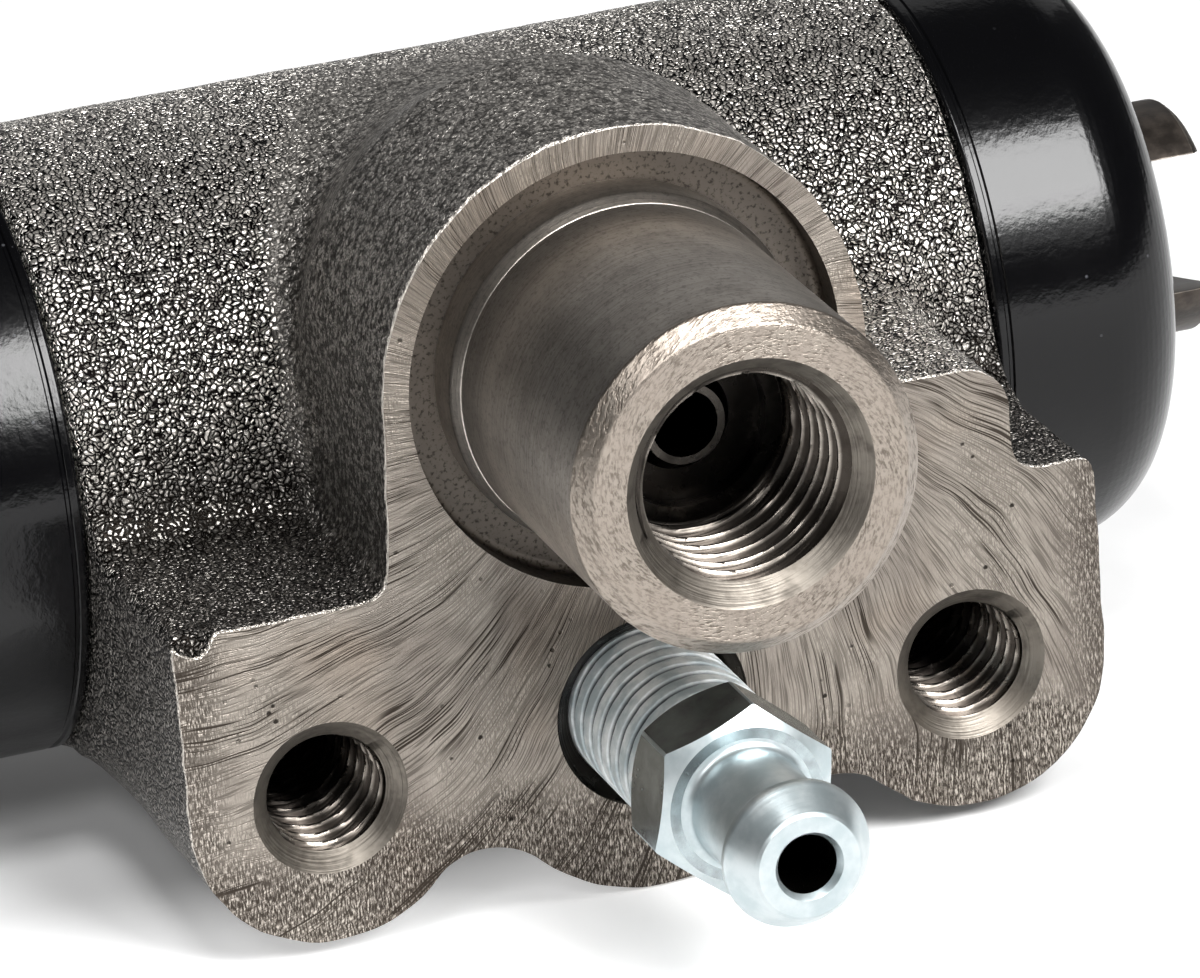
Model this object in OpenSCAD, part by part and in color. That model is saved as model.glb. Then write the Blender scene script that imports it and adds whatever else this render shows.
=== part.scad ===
// Drum brake wheel cylinder: cast body with a spigot, two opposed forked pistons,
// cup seals, expanders, return spring, rubber dust boots and a bleeder screw.
// Origin: centre of the spigot on the mounting face. X runs along the bore,
// -Y leaves the mounting face, Z is up. Sizes are millimetres.

/* [Barrel] */
// Diameter of the bore the pistons slide in
bore_d = 19.05; // [18.2:0.05:20.6]
// Outside diameter of the cast barrel
barrel_d = 26.8; // [26:0.1:29]
// Length of the cast barrel between the two boots
barrel_len = 40.6; // [39:0.2:46]
// Wall left at the turned barrel ends
nose_wall = 2.05; // [1.75:0.05:2.3]
// Length of each turned barrel end
nose_len = 5.6; // [5:0.1:6.6]
// Depth of the groove that holds the boot bead
bead_depth = 0.7; // [0.4:0.05:0.9]
// Width of the groove that holds the boot bead
bead_w = 1.6; // [1.2:0.1:2]
// Distance from the cast barrel to the bead groove
bead_inset = 1.1; // [0.8:0.1:1.6]
// Chamfer at the mouths of the bore
mouth_chamfer = 0.6; // [0.3:0.1:0.9]

/* [Mounting face] */
// Distance from the mounting face back to the bore axis
face_to_bore = 24.2; // [23:0.1:26]
// Height of the spigot axis above the bore axis
spigot_rise = 7.2; // [6.6:0.1:7.6]
// Diameter of the round boss behind the spigot
boss_d = 20.8; // [20:0.1:22]
// How much wider the neck is at the shelf than at the boss, each side
neck_flare = 0.4; // [0.1:0.1:0.8]
// Depth of the boss before it slopes back into the barrel
boss_depth = 10.5; // [9:0.1:12]
// Length of the sloping back of the boss
boss_back = 10; // [8:0.5:12]
// How much the boss narrows along its sloping back
boss_taper = 4.2; // [3:0.1:5]
// How far the flared foot of the boss spreads over the barrel
foot_spread = 2.6; // [1:0.1:3.2]
// Length of the flared foot of the boss
foot_len = 4.5; // [3:0.1:5]
// How far the flared foot stands proud of the barrel
foot_rise = 1.5; // [0.8:0.1:2]
// Depth of the flange from the mounting face
flange_depth = 16; // [14:0.2:17]
// Drop of the flange shelf below the spigot axis
shelf_drop = 7.8; // [7:0.1:8.6]
// Spacing of the two mounting bolt holes
bolt_spacing = 28.2; // [27:0.2:30]
// Drop of the bolt holes below the spigot axis
bolt_drop = 15.9; // [15:0.1:17]
// Core diameter of the threaded bolt holes
bolt_core_d = 4.9; // [4.2:0.1:5.4]
// Depth of the threaded bolt holes
bolt_depth = 12; // [9:0.5:13]
// Width of the countersink beyond the bolt thread core
bolt_sink = 0.85; // [0.4:0.05:1.2]
// Drop of each ear's round end below its bolt hole
ear_sag = 0.3; // [0:0.05:0.6]
// Radius of the middle lobe round the bleeder hole
lobe_r = 7.8; // [7:0.1:8.4]
// Radius of the scallops between the lobes
scallop_r = 2.9; // [2:0.1:4]
// Reach of the raised step on the right ear from the middle
step_reach = 16.5; // [15.5:0.1:17.5]
// Drop of the raised step below the spigot axis
step_drop = 2.9; // [2:0.1:4]
// Corner radius of the raised step
step_r = 2; // [1:0.1:2.4]
// Radius of the small fillets above the shelf
shelf_fillet = 1.3; // [0.6:0.1:1.8]
// Setback of the step and its fillets from the back of the flange
step_back = 2; // [1:0.1:3]
// Distance the ears stop short of the ends of the cast barrel
ear_short = 0.2; // [0.1:0.1:1]

/* [Spigot and inlet] */
// Diameter of the spigot
spigot_d = 14.6; // [14:0.1:15.4]
// Length of the spigot in front of the mounting face
spigot_len = 14.5; // [12:0.5:17]
// Chamfer on the spigot tip
spigot_chamfer = 0.9; // [0.4:0.1:1.4]
// Swell of the spigot at its root
root_swell = 0.32; // [0.1:0.02:0.5]
// Width of the relief groove round the spigot root
relief_w = 1.7; // [1:0.1:1.9]
// Depth of the relief groove
relief_depth = 1.8; // [1:0.1:2.6]
// Core diameter of the inlet thread
inlet_core_d = 8.4; // [7.6:0.1:9]
// Width of the inlet countersink beyond the thread core
inlet_sink = 1; // [0.6:0.1:1.2]
// Depth of the inlet
inlet_depth = 8.4; // [7:0.1:10]
// Height of the raised flare seat at the bottom of the inlet
seat_h = 0.9; // [0.5:0.1:1.4]
// Width of the rim round the passage on the flare seat
seat_rim = 0.4; // [0.2:0.05:0.5]
// Spread of the flare seat from its rim to its foot
seat_spread = 0.5; // [0.2:0.05:0.6]
// Height of the cylinder wall under the inlet thread
sump_h = 1.2; // [0.9:0.1:1.8]
// Step from the inlet thread core to the wall under it
sump_step = 0.7; // [0.4:0.1:1]
// Diameter of the inlet passage
port_d = 2.5; // [2:0.1:2.7]

/* [Bleeder screw] */
// Drop of the bleeder screw below the spigot axis
bleed_drop = 15; // [14.4:0.1:15.4]
// Diameter over the bleeder thread
bleed_d = 6.85; // [6:0.05:7]
// Radial play of the bleeder thread in its hole
bleed_play = 0.05; // [0.02:0.01:0.08]
// Width of the countersink at the bleeder hole
bleed_sink = 0.7; // [0.3:0.1:0.9]
// Depth of the bleeder thread in the body
bleed_depth = 8; // [6:0.2:9]
// Length of bleeder thread in front of the mounting face
bleed_out = 7.2; // [5:0.2:9]
// Length of the seat cone on the inner end of the bleeder screw
cone_len = 2.2; // [1.6:0.1:2.6]
// Radius of the tip of the seat cone
cone_tip_r = 0.8; // [0.5:0.1:1.2]
// Step from the bleeder thread to the seat cone
cone_step = 0.4; // [0.2:0.1:0.8]
// Width of the bleeder hexagon across its flats
hex_af = 7.2; // [7.1:0.1:8]
// Height of the bleeder hexagon
hex_h = 3.9; // [3:0.1:5]
// Turn of the bleeder hexagon about its axis
hex_turn = 20; // [0:1:60]
// Bevel on the front corners of the bleeder hexagon
hex_bevel = 0.3; // [0.1:0.05:0.5]
// Diameter of the bleeder neck
neck_d = 4.9; // [4:0.1:5.4]
// Length of the bleeder neck
neck_len = 4.1; // [3:0.1:5]
// Largest diameter of the hose head
head_d = 6.2; // [5.8:0.1:6.8]
// Length of the hose head
head_len = 2.9; // [2.4:0.1:3.6]
// Length of the back slope of the hose head
barb_len = 1.1; // [0.7:0.1:1.4]
// Length of the widest part of the hose head
barb_land = 0.4; // [0.2:0.1:0.7]
// Diameter of the flat on the tip of the hose head
tip_d = 4.4; // [4:0.1:4.8]
// Diameter of the hole through the bleeder screw
vent_d = 2.5; // [1.8:0.1:2.8]
// Chamfer at the mouth of the hole in the hose head
vent_chamfer = 0.25; // [0.1:0.05:0.4]
// Length of solid metal between that hole and the seat cone
vent_stop = 2.4; // [1.5:0.1:3]
// Diameter of the bleed passage to the bore
bleed_port_d = 1.8; // [1.2:0.1:2.2]

/* [Pistons] */
// Radial play of the pistons in the bore
piston_play = 0.03; // [0.02:0.01:0.06]
// Distance from the middle to the inner end of each piston
piston_in = 12; // [11:0.2:13]
// Length of the guided part of each piston
piston_len = 12; // [10:0.2:12.4]
// Chamfer on both ends of the guided part
piston_chamfer = 0.5; // [0.3:0.1:0.8]
// Diameter of the forked stem
stem_d = 10.4; // [9.6:0.1:11]
// Length of the forked stem
stem_len = 10.2; // [9.6:0.1:12]
// Width of the shoe slot
slot_w = 5.9; // [5:0.1:6.4]
// Depth of the shoe slot
slot_depth = 5.3; // [4.4:0.1:5.4]
// Turn of the shoe slots about the bore axis
slot_turn = 14; // [-30:1:30]
// Depth of the boot lip groove in the stem
lip_depth = 0.8; // [0.5:0.1:1.1]
// Play at each side of the boot lip in its groove
lip_play = 0.1; // [0.05:0.05:0.15]
// Chamfer on the end of the stem
stem_chamfer = 0.4; // [0.2:0.1:0.7]

/* [Dust boots] */
// Reach of each boot past the end of the barrel
boot_over = 4.05; // [3.7:0.05:4.4]
// Radius of the rounded boot shoulder
boot_round = 4.2; // [3.8:0.1:4.4]
// Thickness of the rubber round the barrel end
boot_wall = 1.6; // [1.4:0.05:1.8]
// Thickness of the lip in the stem groove
lip_w = 1.5; // [1.3:0.05:1.55]
// Gap left round the rubber where it is fitted
rubber_gap = 0.05; // [0.03:0.01:0.08]
// Gap between each boot and the cast barrel
boot_gap = 0.1; // [0.05:0.05:0.3]
// Depth of the dished end of each boot down to its lip
dish_depth = 2.3; // [2:0.1:2.6]
// Width of the lip ring round the stem
lip_ring = 1.8; // [1.4:0.1:2.2]
// Width of the flat rim round the dished end
dish_rim = 0.7; // [0.4:0.1:1]

/* [Seals and spring] */
// Length of each cup seal
cup_len = 5; // [4.4:0.1:5.6]
// Thickness of the cup seal base
cup_base = 2.2; // [1.8:0.1:2.6]
// Thickness of the cup seal lip
cup_lip = 1.7; // [1.3:0.1:2]
// Draft of the cup seal lip on its inside
cup_draft = 0.5; // [0.2:0.1:0.7]
// Bevel on the edges of the cup seal
cup_bevel = 0.3; // [0.2:0.1:0.5]
// Length of the bevel on the cup seal lip
cup_taper = 0.8; // [0.5:0.1:1.2]
// Sheet thickness of the expanders
sheet_t = 0.6; // [0.4:0.05:0.8]
// Height of the expanders
expander_h = 2.2; // [1.8:0.1:2.6]
// Diameter of the hole in each expander
expander_hole_d = 3; // [2:0.1:4]
// Play of the expander rim inside the cup seal
rim_play = 0.2; // [0.1:0.05:0.3]
// Play of the spring inside the expander
coil_play = 0.4; // [0.2:0.05:0.6]
// Play at each end of the spring
end_play = 0.05; // [0.03:0.01:0.1]
// Wire diameter of the return spring
wire_d = 0.9; // [0.7:0.05:1.1]
// Mean diameter of the return spring
spring_d = 9.4; // [8.6:0.1:10]
// Turns of the return spring
spring_turns = 5; // [4:1:6]

/* [Hidden] */
$fn = 64;
// Small overlap of cuts that start on a face
eps = 0.02;
// Overlap of joined solids and reach of cuts past the metal
sunk = 0.2;
past = 1;
bore_r = bore_d / 2;
barrel_r = barrel_d / 2;
half_barrel = barrel_len / 2;
half_bore = half_barrel + nose_len;
nose_r = bore_r + nose_wall;
bead_r = nose_r - bead_depth;
bead_at = half_barrel + bead_inset;
boss_r = boss_d / 2;
neck_half = boss_r + neck_flare;
ear_x = bolt_spacing / 2;
ear_half = half_barrel - ear_short;
ear_r = ear_half - ear_x;
ear_drop = bolt_drop + ear_sag;
spigot_r = spigot_d / 2;
root_r = spigot_r + root_swell;
inlet_r = inlet_core_d / 2;
bleed_r = bleed_d / 2;
bleed_hole_r = bleed_r + bleed_play;
bolt_core_r = bolt_core_d / 2;
port_r = port_d / 2;
vent_r = vent_d / 2;
neck_r = neck_d / 2;
head_r = head_d / 2;
hex_r = hex_af / 2;
cup_hollow_r = bore_r - piston_play - cup_lip;
piston_r = bore_r - piston_play;
stem_r = stem_d / 2;
stem_in = piston_in + piston_len;
stem_end = stem_in + stem_len;
boot_r = nose_r + rubber_gap + boot_wall;
boot_in = half_barrel + boot_gap;
boot_end = half_bore + boot_over;
ring_r = boot_r - boot_round;
lip_r = stem_r - lip_depth;
lip_at = boot_end - dish_depth - lip_w;
slot_root = stem_end - slot_depth;
cup_in = piston_in - cup_len;

// Point where a scallop of radius scallop_r touches the ear and the middle lobe
reach_ear = ear_r + scallop_r;
reach_lobe = lobe_r + scallop_r;
lobe_gap = norm([ear_x, ear_drop - bleed_drop]);
along = (pow(reach_lobe, 2) - pow(reach_ear, 2) + pow(lobe_gap, 2)) / (2 * lobe_gap);
aside = sqrt(pow(reach_lobe, 2) - pow(along, 2));
ear_dir = [ear_x, bleed_drop - ear_drop] / lobe_gap;
scallop_x = along * ear_dir[0] + aside * ear_dir[1];
scallop_z = along * ear_dir[1] - aside * ear_dir[0] - bleed_drop;

// Cylinder or cone along Y from y0 to y1 at the given x and z
module along_y(y0, y1, r0, r1, x = 0, z = 0) {
    translate([x, y0, z]) rotate([-90, 0, 0]) cylinder(h = y1 - y0, r1 = r0, r2 = r1);
}

// Moves what is built up along Z onto the bore axis, from x along +X
module on_bore(x) {
    translate([x, face_to_bore, -spigot_rise]) rotate([0, 90, 0]) children();
}

// Cylinder or cone on the bore axis from x0 to x1
module along_x(x0, x1, r0, r1) {
    on_bore(x0) cylinder(h = x1 - x0, r1 = r0, r2 = r1);
}

// Plate with an outline in X and Z, from y0 to y1
module plate(outline, y0, y1) {
    translate([0, y1, 0]) rotate([90, 0, 0]) linear_extrude(height = y1 - y0) polygon(outline);
}

// Barrel with its two turned ends
module barrel() {
    along_x(-half_barrel, half_barrel, barrel_r, barrel_r);
    along_x(-half_bore, half_bore, nose_r, nose_r);
}

// Round boss, sloping back into the barrel and flared at its foot
module boss() {
    along_y(0, boss_depth, boss_r, boss_r);
    along_y(boss_depth, boss_depth + boss_back, boss_r, boss_r - boss_taper);
    intersection() {
        along_y(boss_depth - foot_len / 3, boss_depth + foot_len * 2 / 3, boss_r, boss_r + foot_spread);
        along_x(-half_barrel, half_barrel, barrel_r + foot_rise, barrel_r + foot_rise);
    }
}

// Concave fillet on the shelf at x; side is the way the open shelf lies
module shelf_corner(x, side) {
    far = x + side * shelf_fillet;
    near = x - side * sunk;
    top = shelf_fillet - shelf_drop;
    low = -shelf_drop - sunk;
    difference() {
        plate([[near, low], [far, low], [far, top], [near, top]], 0, flange_depth - step_back);
        along_y(-past, flange_depth, shelf_fillet, shelf_fillet, far, top);
    }
}

// Neck and the three lobed flange behind the mounting face
module flange() {
    foot = -shelf_drop - past;
    plate([[-boss_r, 0], [boss_r, 0], [neck_half, foot], [-neck_half, foot]], 0, flange_depth);
    plate([[-ear_half, -shelf_drop], [ear_half, -shelf_drop], [ear_half, -ear_drop],
           [-ear_half, -ear_drop]], 0, flange_depth);
    along_y(0, flange_depth, lobe_r, lobe_r, 0, -bleed_drop);
    for (side = [-1, 1]) {
        along_y(0, flange_depth, ear_r, ear_r, side * ear_x, -ear_drop);
        difference() {
            plate([[0, -bleed_drop], [side * ear_x, -ear_drop], [side * scallop_x, scallop_z]],
                  0, flange_depth);
            along_y(-past, flange_depth + past, scallop_r, scallop_r, side * scallop_x, scallop_z);
        }
    }
    shelf_corner(-neck_half, -1);
    step();
}

// Raised step on top of the right ear
module step() {
    corner_x = step_reach - step_r;
    corner_z = -step_drop - step_r;
    foot = -shelf_drop - past;
    plate([[0, -step_drop], [corner_x, -step_drop], [corner_x, corner_z], [step_reach, corner_z],
           [step_reach, foot], [0, foot]], 0, flange_depth - step_back);
    along_y(0, flange_depth - step_back, step_r, step_r, corner_x, corner_z);
    shelf_corner(step_reach, 1);
}

// Turned spigot with a chamfered tip
module spigot() {
    along_y(-spigot_len + spigot_chamfer, relief_depth + past, spigot_r, spigot_r);
    along_y(-spigot_len, -spigot_len + spigot_chamfer, spigot_r - spigot_chamfer, spigot_r);
    along_y(-root_swell * 2, 0, spigot_r, root_r);
}

// Relief groove turned into the mounting face round the spigot
module relief() {
    difference() {
        along_y(-past, relief_depth, root_r + relief_w, root_r + relief_w);
        along_y(-2 * past, relief_depth + past, root_r, root_r);
    }
}

// Threaded inlet with its countersink, flare seat and passage to the bore
module inlet() {
    mouth_at = -spigot_len;
    bottom = mouth_at + inlet_depth;
    sump_at = bottom - sump_h;
    sump_r = inlet_r - sump_step;
    difference() {
        union() {
            along_y(mouth_at - eps, mouth_at + inlet_sink, inlet_r + inlet_sink + eps, inlet_r);
            along_y(mouth_at, sump_at - inlet_sink, inlet_r, inlet_r);
            along_y(sump_at - inlet_sink, sump_at, inlet_r, sump_r);
            along_y(sump_at, bottom, sump_r, sump_r);
        }
        along_y(bottom - seat_h, bottom + eps, port_r + seat_rim, port_r + seat_rim + seat_spread);
    }
    along_y(bottom - seat_h - past, face_to_bore, port_r, port_r);
}

// Threaded bolt holes in the ears
module bolt_holes() {
    point = bolt_core_r * tan(30);
    for (x = [-ear_x, ear_x]) {
        along_y(-past, bolt_depth, bolt_core_r, bolt_core_r, x, -bolt_drop);
        along_y(-eps, bolt_sink, bolt_core_r + bolt_sink + eps, bolt_core_r, x, -bolt_drop);
        along_y(bolt_depth, bolt_depth + point, bolt_core_r, 0, x, -bolt_drop);
    }
}

// Threaded bleeder hole with its conical seat and passage to the bore
module bleeder_hole() {
    floor_at = bleed_depth + cone_step;
    port_end = bleed_port_d / 2;
    along_y(-past, floor_at, bleed_hole_r, bleed_hole_r, 0, -bleed_drop);
    along_y(-eps, bleed_sink, bleed_hole_r + bleed_sink + eps, bleed_hole_r, 0, -bleed_drop);
    along_y(floor_at, floor_at + cone_len, bleed_hole_r, port_end, 0, -bleed_drop);
    along_y(bleed_depth, face_to_bore, port_end, port_end, 0, -bleed_drop);
}

// Groove for the boot bead and chamfer at the mouth, on the right end
module barrel_end() {
    difference() {
        along_x(bead_at, bead_at + bead_w, nose_r + past, nose_r + past);
        along_x(bead_at - past, bead_at + bead_w + past, bead_r, bead_r);
    }
    along_x(half_bore - mouth_chamfer, half_bore + eps, bore_r, bore_r + mouth_chamfer + eps);
}

module cylinder_body() {
    color([0.33, 0.31, 0.29]) difference() {
        union() {
            difference() {
                union() {
                    barrel();
                    boss();
                    flange();
                }
                relief();
            }
            spigot();
        }
        along_x(-half_bore - past, half_bore + past, bore_r, bore_r);
        barrel_end();
        mirror([1, 0, 0]) barrel_end();
        inlet();
        bolt_holes();
        bleeder_hole();
    }
}

// Piston with its forked stem, on the right of the middle
module piston() {
    edge_r = piston_r - piston_chamfer;
    guide_in = piston_in + piston_chamfer;
    guide_out = stem_in - piston_chamfer;
    groove_out = lip_at + lip_w + lip_play;
    color([0.27, 0.25, 0.23]) difference() {
        union() {
            along_x(piston_in, guide_in, edge_r, piston_r);
            along_x(guide_in, guide_out, piston_r, piston_r);
            along_x(guide_out, stem_in, piston_r, edge_r);
            along_x(guide_out, lip_at - lip_play, stem_r, stem_r);
            along_x(guide_out, stem_end - past, lip_r, lip_r);
            along_x(groove_out, stem_end - stem_chamfer, stem_r, stem_r);
            along_x(stem_end - stem_chamfer, stem_end, stem_r, stem_r - stem_chamfer);
        }
        translate([slot_root, face_to_bore, -spigot_rise]) rotate([-slot_turn, 0, 0])
            translate([0, -stem_d, -slot_w / 2]) cube([slot_depth + past, 2 * stem_d, slot_w]);
    }
}

module piston_right() {
    piston();
}

module piston_left() {
    mirror([1, 0, 0]) piston();
}

// Rubber cup seal with its lip facing the middle
module cup_seal() {
    edge_r = piston_r - cup_bevel;
    color([0.12, 0.12, 0.13]) difference() {
        union() {
            along_x(cup_in, cup_in + cup_taper, edge_r, piston_r);
            along_x(cup_in + cup_taper, piston_in - cup_bevel, piston_r, piston_r);
            along_x(piston_in - cup_bevel, piston_in, piston_r, edge_r);
        }
        along_x(cup_in - eps, piston_in - cup_base, cup_hollow_r + cup_draft, cup_hollow_r);
    }
}

module cup_seal_right() {
    cup_seal();
}

module cup_seal_left() {
    mirror([1, 0, 0]) cup_seal();
}

// Sheet expander that seats the spring in the cup seal
module cup_expander() {
    seat = piston_in - cup_base;
    front = seat - expander_h;
    inner_r = (spring_d + wire_d) / 2 + coil_play;
    outer_r = inner_r + sheet_t;
    rim_r = cup_hollow_r - rim_play;
    color([0.62, 0.6, 0.55]) difference() {
        union() {
            along_x(front, seat, outer_r, outer_r);
            along_x(front, front + sheet_t, rim_r, rim_r);
        }
        along_x(front - past, seat - sheet_t, inner_r, inner_r);
        along_x(front, seat + past, expander_hole_d / 2, expander_hole_d / 2);
    }
}

module cup_expander_right() {
    cup_expander();
}

module cup_expander_left() {
    mirror([1, 0, 0]) cup_expander();
}

// Coil spring between the two expanders, a round wire swept along a helix
module return_spring() {
    span = 2 * (piston_in - cup_base - sheet_t - end_play) - wire_d;
    sides = 8;
    per_turn = 16;
    steps = spring_turns * per_turn;
    points = [for (i = [0 : steps], k = [0 : sides - 1])
        let (turn = 360 * i / per_turn, a = 360 * k / sides,
             r = spring_d / 2 + wire_d / 2 * cos(a),
             x = span * (i / steps - 0.5) + wire_d / 2 * sin(a))
        [x, r * cos(turn), r * sin(turn)]];
    walls = [for (i = [0 : steps - 1], k = [0 : sides - 1])
        let (n = (k + 1) % sides)
        [i * sides + k, i * sides + n, (i + 1) * sides + n, (i + 1) * sides + k]];
    ends = [[for (k = [0 : sides - 1]) sides - 1 - k], [for (k = [0 : sides - 1]) steps * sides + k]];
    color([0.7, 0.7, 0.68]) translate([0, face_to_bore, -spigot_rise])
        polyhedron(points = points, faces = concat(walls, ends), convexity = 8);
}

// Points of an arc round r, x from one angle to another, as pairs of radius and place along X
function arc(r, x, size, from, to, steps = 12) =
    [for (i = [0 : steps])
        let (a = from + (to - from) * i / steps)
        [r + size * cos(a), x + size * sin(a)]];

// Rubber dust boot: a bead in the body groove, a rounded shoulder and a lip in the piston groove
module dust_boot() {
    turn_at = boot_end - boot_round;
    fit_r = nose_r + rubber_gap;
    fit_end = max(half_bore + boot_gap, turn_at);
    shoulder_r = boot_round - boot_wall - boot_gap;
    hold_r = bead_r + rubber_gap;
    bead_in = bead_at + boot_gap;
    bead_out = bead_at + bead_w - boot_gap;
    grip_r = lip_r + rubber_gap;
    grip_out = lip_at + lip_w;
    outside = arc(ring_r, turn_at, boot_round, 0, 90);
    dish = [[ring_r - dish_rim, boot_end], [stem_r + lip_ring, grip_out], [grip_r, grip_out],
            [grip_r, lip_at], [stem_r + lip_ring, lip_at]];
    inside = arc(ring_r, turn_at, shoulder_r, 90, asin((fit_end - turn_at) / shoulder_r));
    bead = [[fit_r, fit_end], [fit_r, bead_out], [hold_r, bead_out], [hold_r, bead_in], [fit_r, bead_in],
            [fit_r, boot_in], [boot_r, boot_in]];
    color([0.09, 0.09, 0.1]) on_bore(0) rotate_extrude() polygon(concat(outside, dish, inside, bead));
}

module dust_boot_right() {
    dust_boot();
}

module dust_boot_left() {
    mirror([1, 0, 0]) dust_boot();
}

// Bleeder screw: seat cone, thread, hexagon, neck and hose head
module bleeder_screw() {
    hex_at = -bleed_out;
    neck_at = hex_at - hex_h;
    head_at = neck_at - neck_len;
    tip_at = head_at - head_len;
    barb_at = head_at - barb_len;
    nose_at = barb_at - barb_land;
    cone_at = bleed_depth - cone_step;
    bevel_r = hex_r - hex_bevel;
    vent_end = cone_at - vent_stop;
    z = -bleed_drop;
    color([0.78, 0.8, 0.8]) difference() {
        union() {
            along_y(cone_at, cone_at + cone_len, bleed_r - cone_step, cone_tip_r, 0, z);
            along_y(hex_at - eps, cone_at, bleed_r, bleed_r, 0, z);
            intersection() {
                translate([0, hex_at, z]) rotate([90, -hex_turn, 0])
                    cylinder(h = hex_h, r = hex_r / cos(30), $fn = 6);
                along_y(neck_at, hex_at, bevel_r, bevel_r + hex_h / tan(30), 0, z);
            }
            along_y(barb_at, neck_at + eps, neck_r, neck_r, 0, z);
            along_y(barb_at, head_at, head_r, neck_r, 0, z);
            along_y(nose_at, barb_at, head_r, head_r, 0, z);
            along_y(tip_at, nose_at, tip_d / 2, head_r, 0, z);
        }
        along_y(tip_at - past, vent_end, vent_r, vent_r, 0, z);
        along_y(tip_at - eps, tip_at + vent_chamfer, vent_r + vent_chamfer + eps, vent_r, 0, z);
    }
}

cylinder_body();
piston_left();
piston_right();
cup_seal_left();
cup_seal_right();
cup_expander_left();
cup_expander_right();
return_spring();
dust_boot_left();
dust_boot_right();
bleeder_screw();
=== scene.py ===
"""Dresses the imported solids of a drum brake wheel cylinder: cast body, boots, pistons and bleeder screw."""

import logging
import math
from dataclasses import dataclass, field
from enum import Enum
from typing import Any, ClassVar, Mapping, NamedTuple, Optional, Sequence, Union

import bmesh
import bpy
import numpy as np
from mathutils import Matrix, Vector


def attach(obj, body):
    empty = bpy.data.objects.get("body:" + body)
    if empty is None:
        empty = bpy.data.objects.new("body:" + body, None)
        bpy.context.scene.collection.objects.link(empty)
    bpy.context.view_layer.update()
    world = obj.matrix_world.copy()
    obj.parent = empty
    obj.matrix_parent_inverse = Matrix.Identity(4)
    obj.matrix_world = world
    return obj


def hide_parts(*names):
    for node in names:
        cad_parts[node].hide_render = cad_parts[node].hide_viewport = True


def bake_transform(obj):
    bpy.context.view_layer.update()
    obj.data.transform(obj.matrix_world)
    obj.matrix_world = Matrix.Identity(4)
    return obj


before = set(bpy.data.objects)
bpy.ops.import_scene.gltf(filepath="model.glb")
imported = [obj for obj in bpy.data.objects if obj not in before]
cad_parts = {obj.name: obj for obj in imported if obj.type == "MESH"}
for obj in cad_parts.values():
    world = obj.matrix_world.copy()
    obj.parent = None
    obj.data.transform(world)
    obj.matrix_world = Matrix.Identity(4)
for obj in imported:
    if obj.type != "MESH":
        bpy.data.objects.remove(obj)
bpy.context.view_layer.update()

LOG = logging.getLogger("wheel_cylinder")
MM = 0.001
# Places in millimetres: the spigot's axis at the face, the middle of the bore,
# the right bolt hole and the bleeder screw.
SPIGOT = (0.0, 0.0, 0.0)
BORE = (0.0, 24.2, -7.2)
BOLT_X, BOLT_Z = 14.1, -15.9
BLEEDER_Z = -15.0

Point = tuple[float, float, float]
Profile = Sequence[tuple[float, float]]
Links = Union[Mapping[Any, Any], Sequence[Any]]
Number = Union["Value", float]


class Side(Enum):
    """The two ends of the bore; the value is the way each points along X."""

    LEFT = -1
    RIGHT = 1

    @property
    def word(self) -> str:
        """The side's name as the solids use it."""
        return self.name.lower()

    @property
    def body(self) -> str:
        """The moving body at this end."""
        return f"{self.word}_piston"


class Axis(Enum):
    """The way a turned shape's axis runs in the part."""

    ALONG_BORE = Matrix(((0, 0, 1), (1, 0, 0), (0, 1, 0)))
    ALONG_SPIGOT = Matrix(((0, 1, 0), (0, 0, 1), (1, 0, 0)))

    def placed(self, at: Point) -> Matrix:
        """The matrix that takes a shape built up Z to this axis through a point in millimetres."""
        return Matrix.Translation(Vector(at) * MM) @ self.value.to_4x4()


class Cut(Enum):
    """How one solid changes another."""

    JOIN = "UNION"
    TAKE = "DIFFERENCE"
    KEEP = "INTERSECT"


# Nodes and formulas

NOISE, CELLS, XYZ = "ShaderNodeTexNoise", "ShaderNodeTexVoronoi", "ShaderNodeCombineXYZ"
# The scale of a noise texture times the width of its grains.
GRAIN = 0.5


def linear(code: str) -> tuple[float, float, float, float]:
    """Turns an sRGB hex colour into linear light.

    Args:
        code: Six hex digits after a hash sign.

    Returns:
        Red, green, blue and alpha.
    """
    parts = [int(code[i:i + 2], 16) / 255 for i in (1, 3, 5)]
    light = [c / 12.92 if c <= 0.04045 else ((c + 0.055) / 1.055) ** 2.4 for c in parts]
    return (*light, 1.0)


def feed(node: bpy.types.Node, links: Links) -> None:
    """Sets or links the inputs of a node.

    Args:
        node: The node.
        links: Constants, or values from other nodes, by input name or place.
    """
    for key, value in links.items() if isinstance(links, Mapping) else enumerate(links):
        if isinstance(value, Value):
            node.id_data.links.new(value.socket, node.inputs[key])
        else:
            node.inputs[key].default_value = value


def add(tree: bpy.types.NodeTree, kind: str, links: Links = (), out: Union[int, str] = 0,
        **settings: Any) -> "Value":
    """Adds a node with its settings and links.

    Args:
        tree: The tree that gets the node.
        kind: The node's type name.
        links: Constants, or values from other nodes, by input name or place.
        out: Name or place of the output that is wanted.
        **settings: The node's own properties.

    Returns:
        The value at that output.
    """
    node = tree.nodes.new(kind)
    for name, value in settings.items():
        setattr(node, name, value)
    feed(node, links)
    return Value(tree, node.outputs[out])


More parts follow.
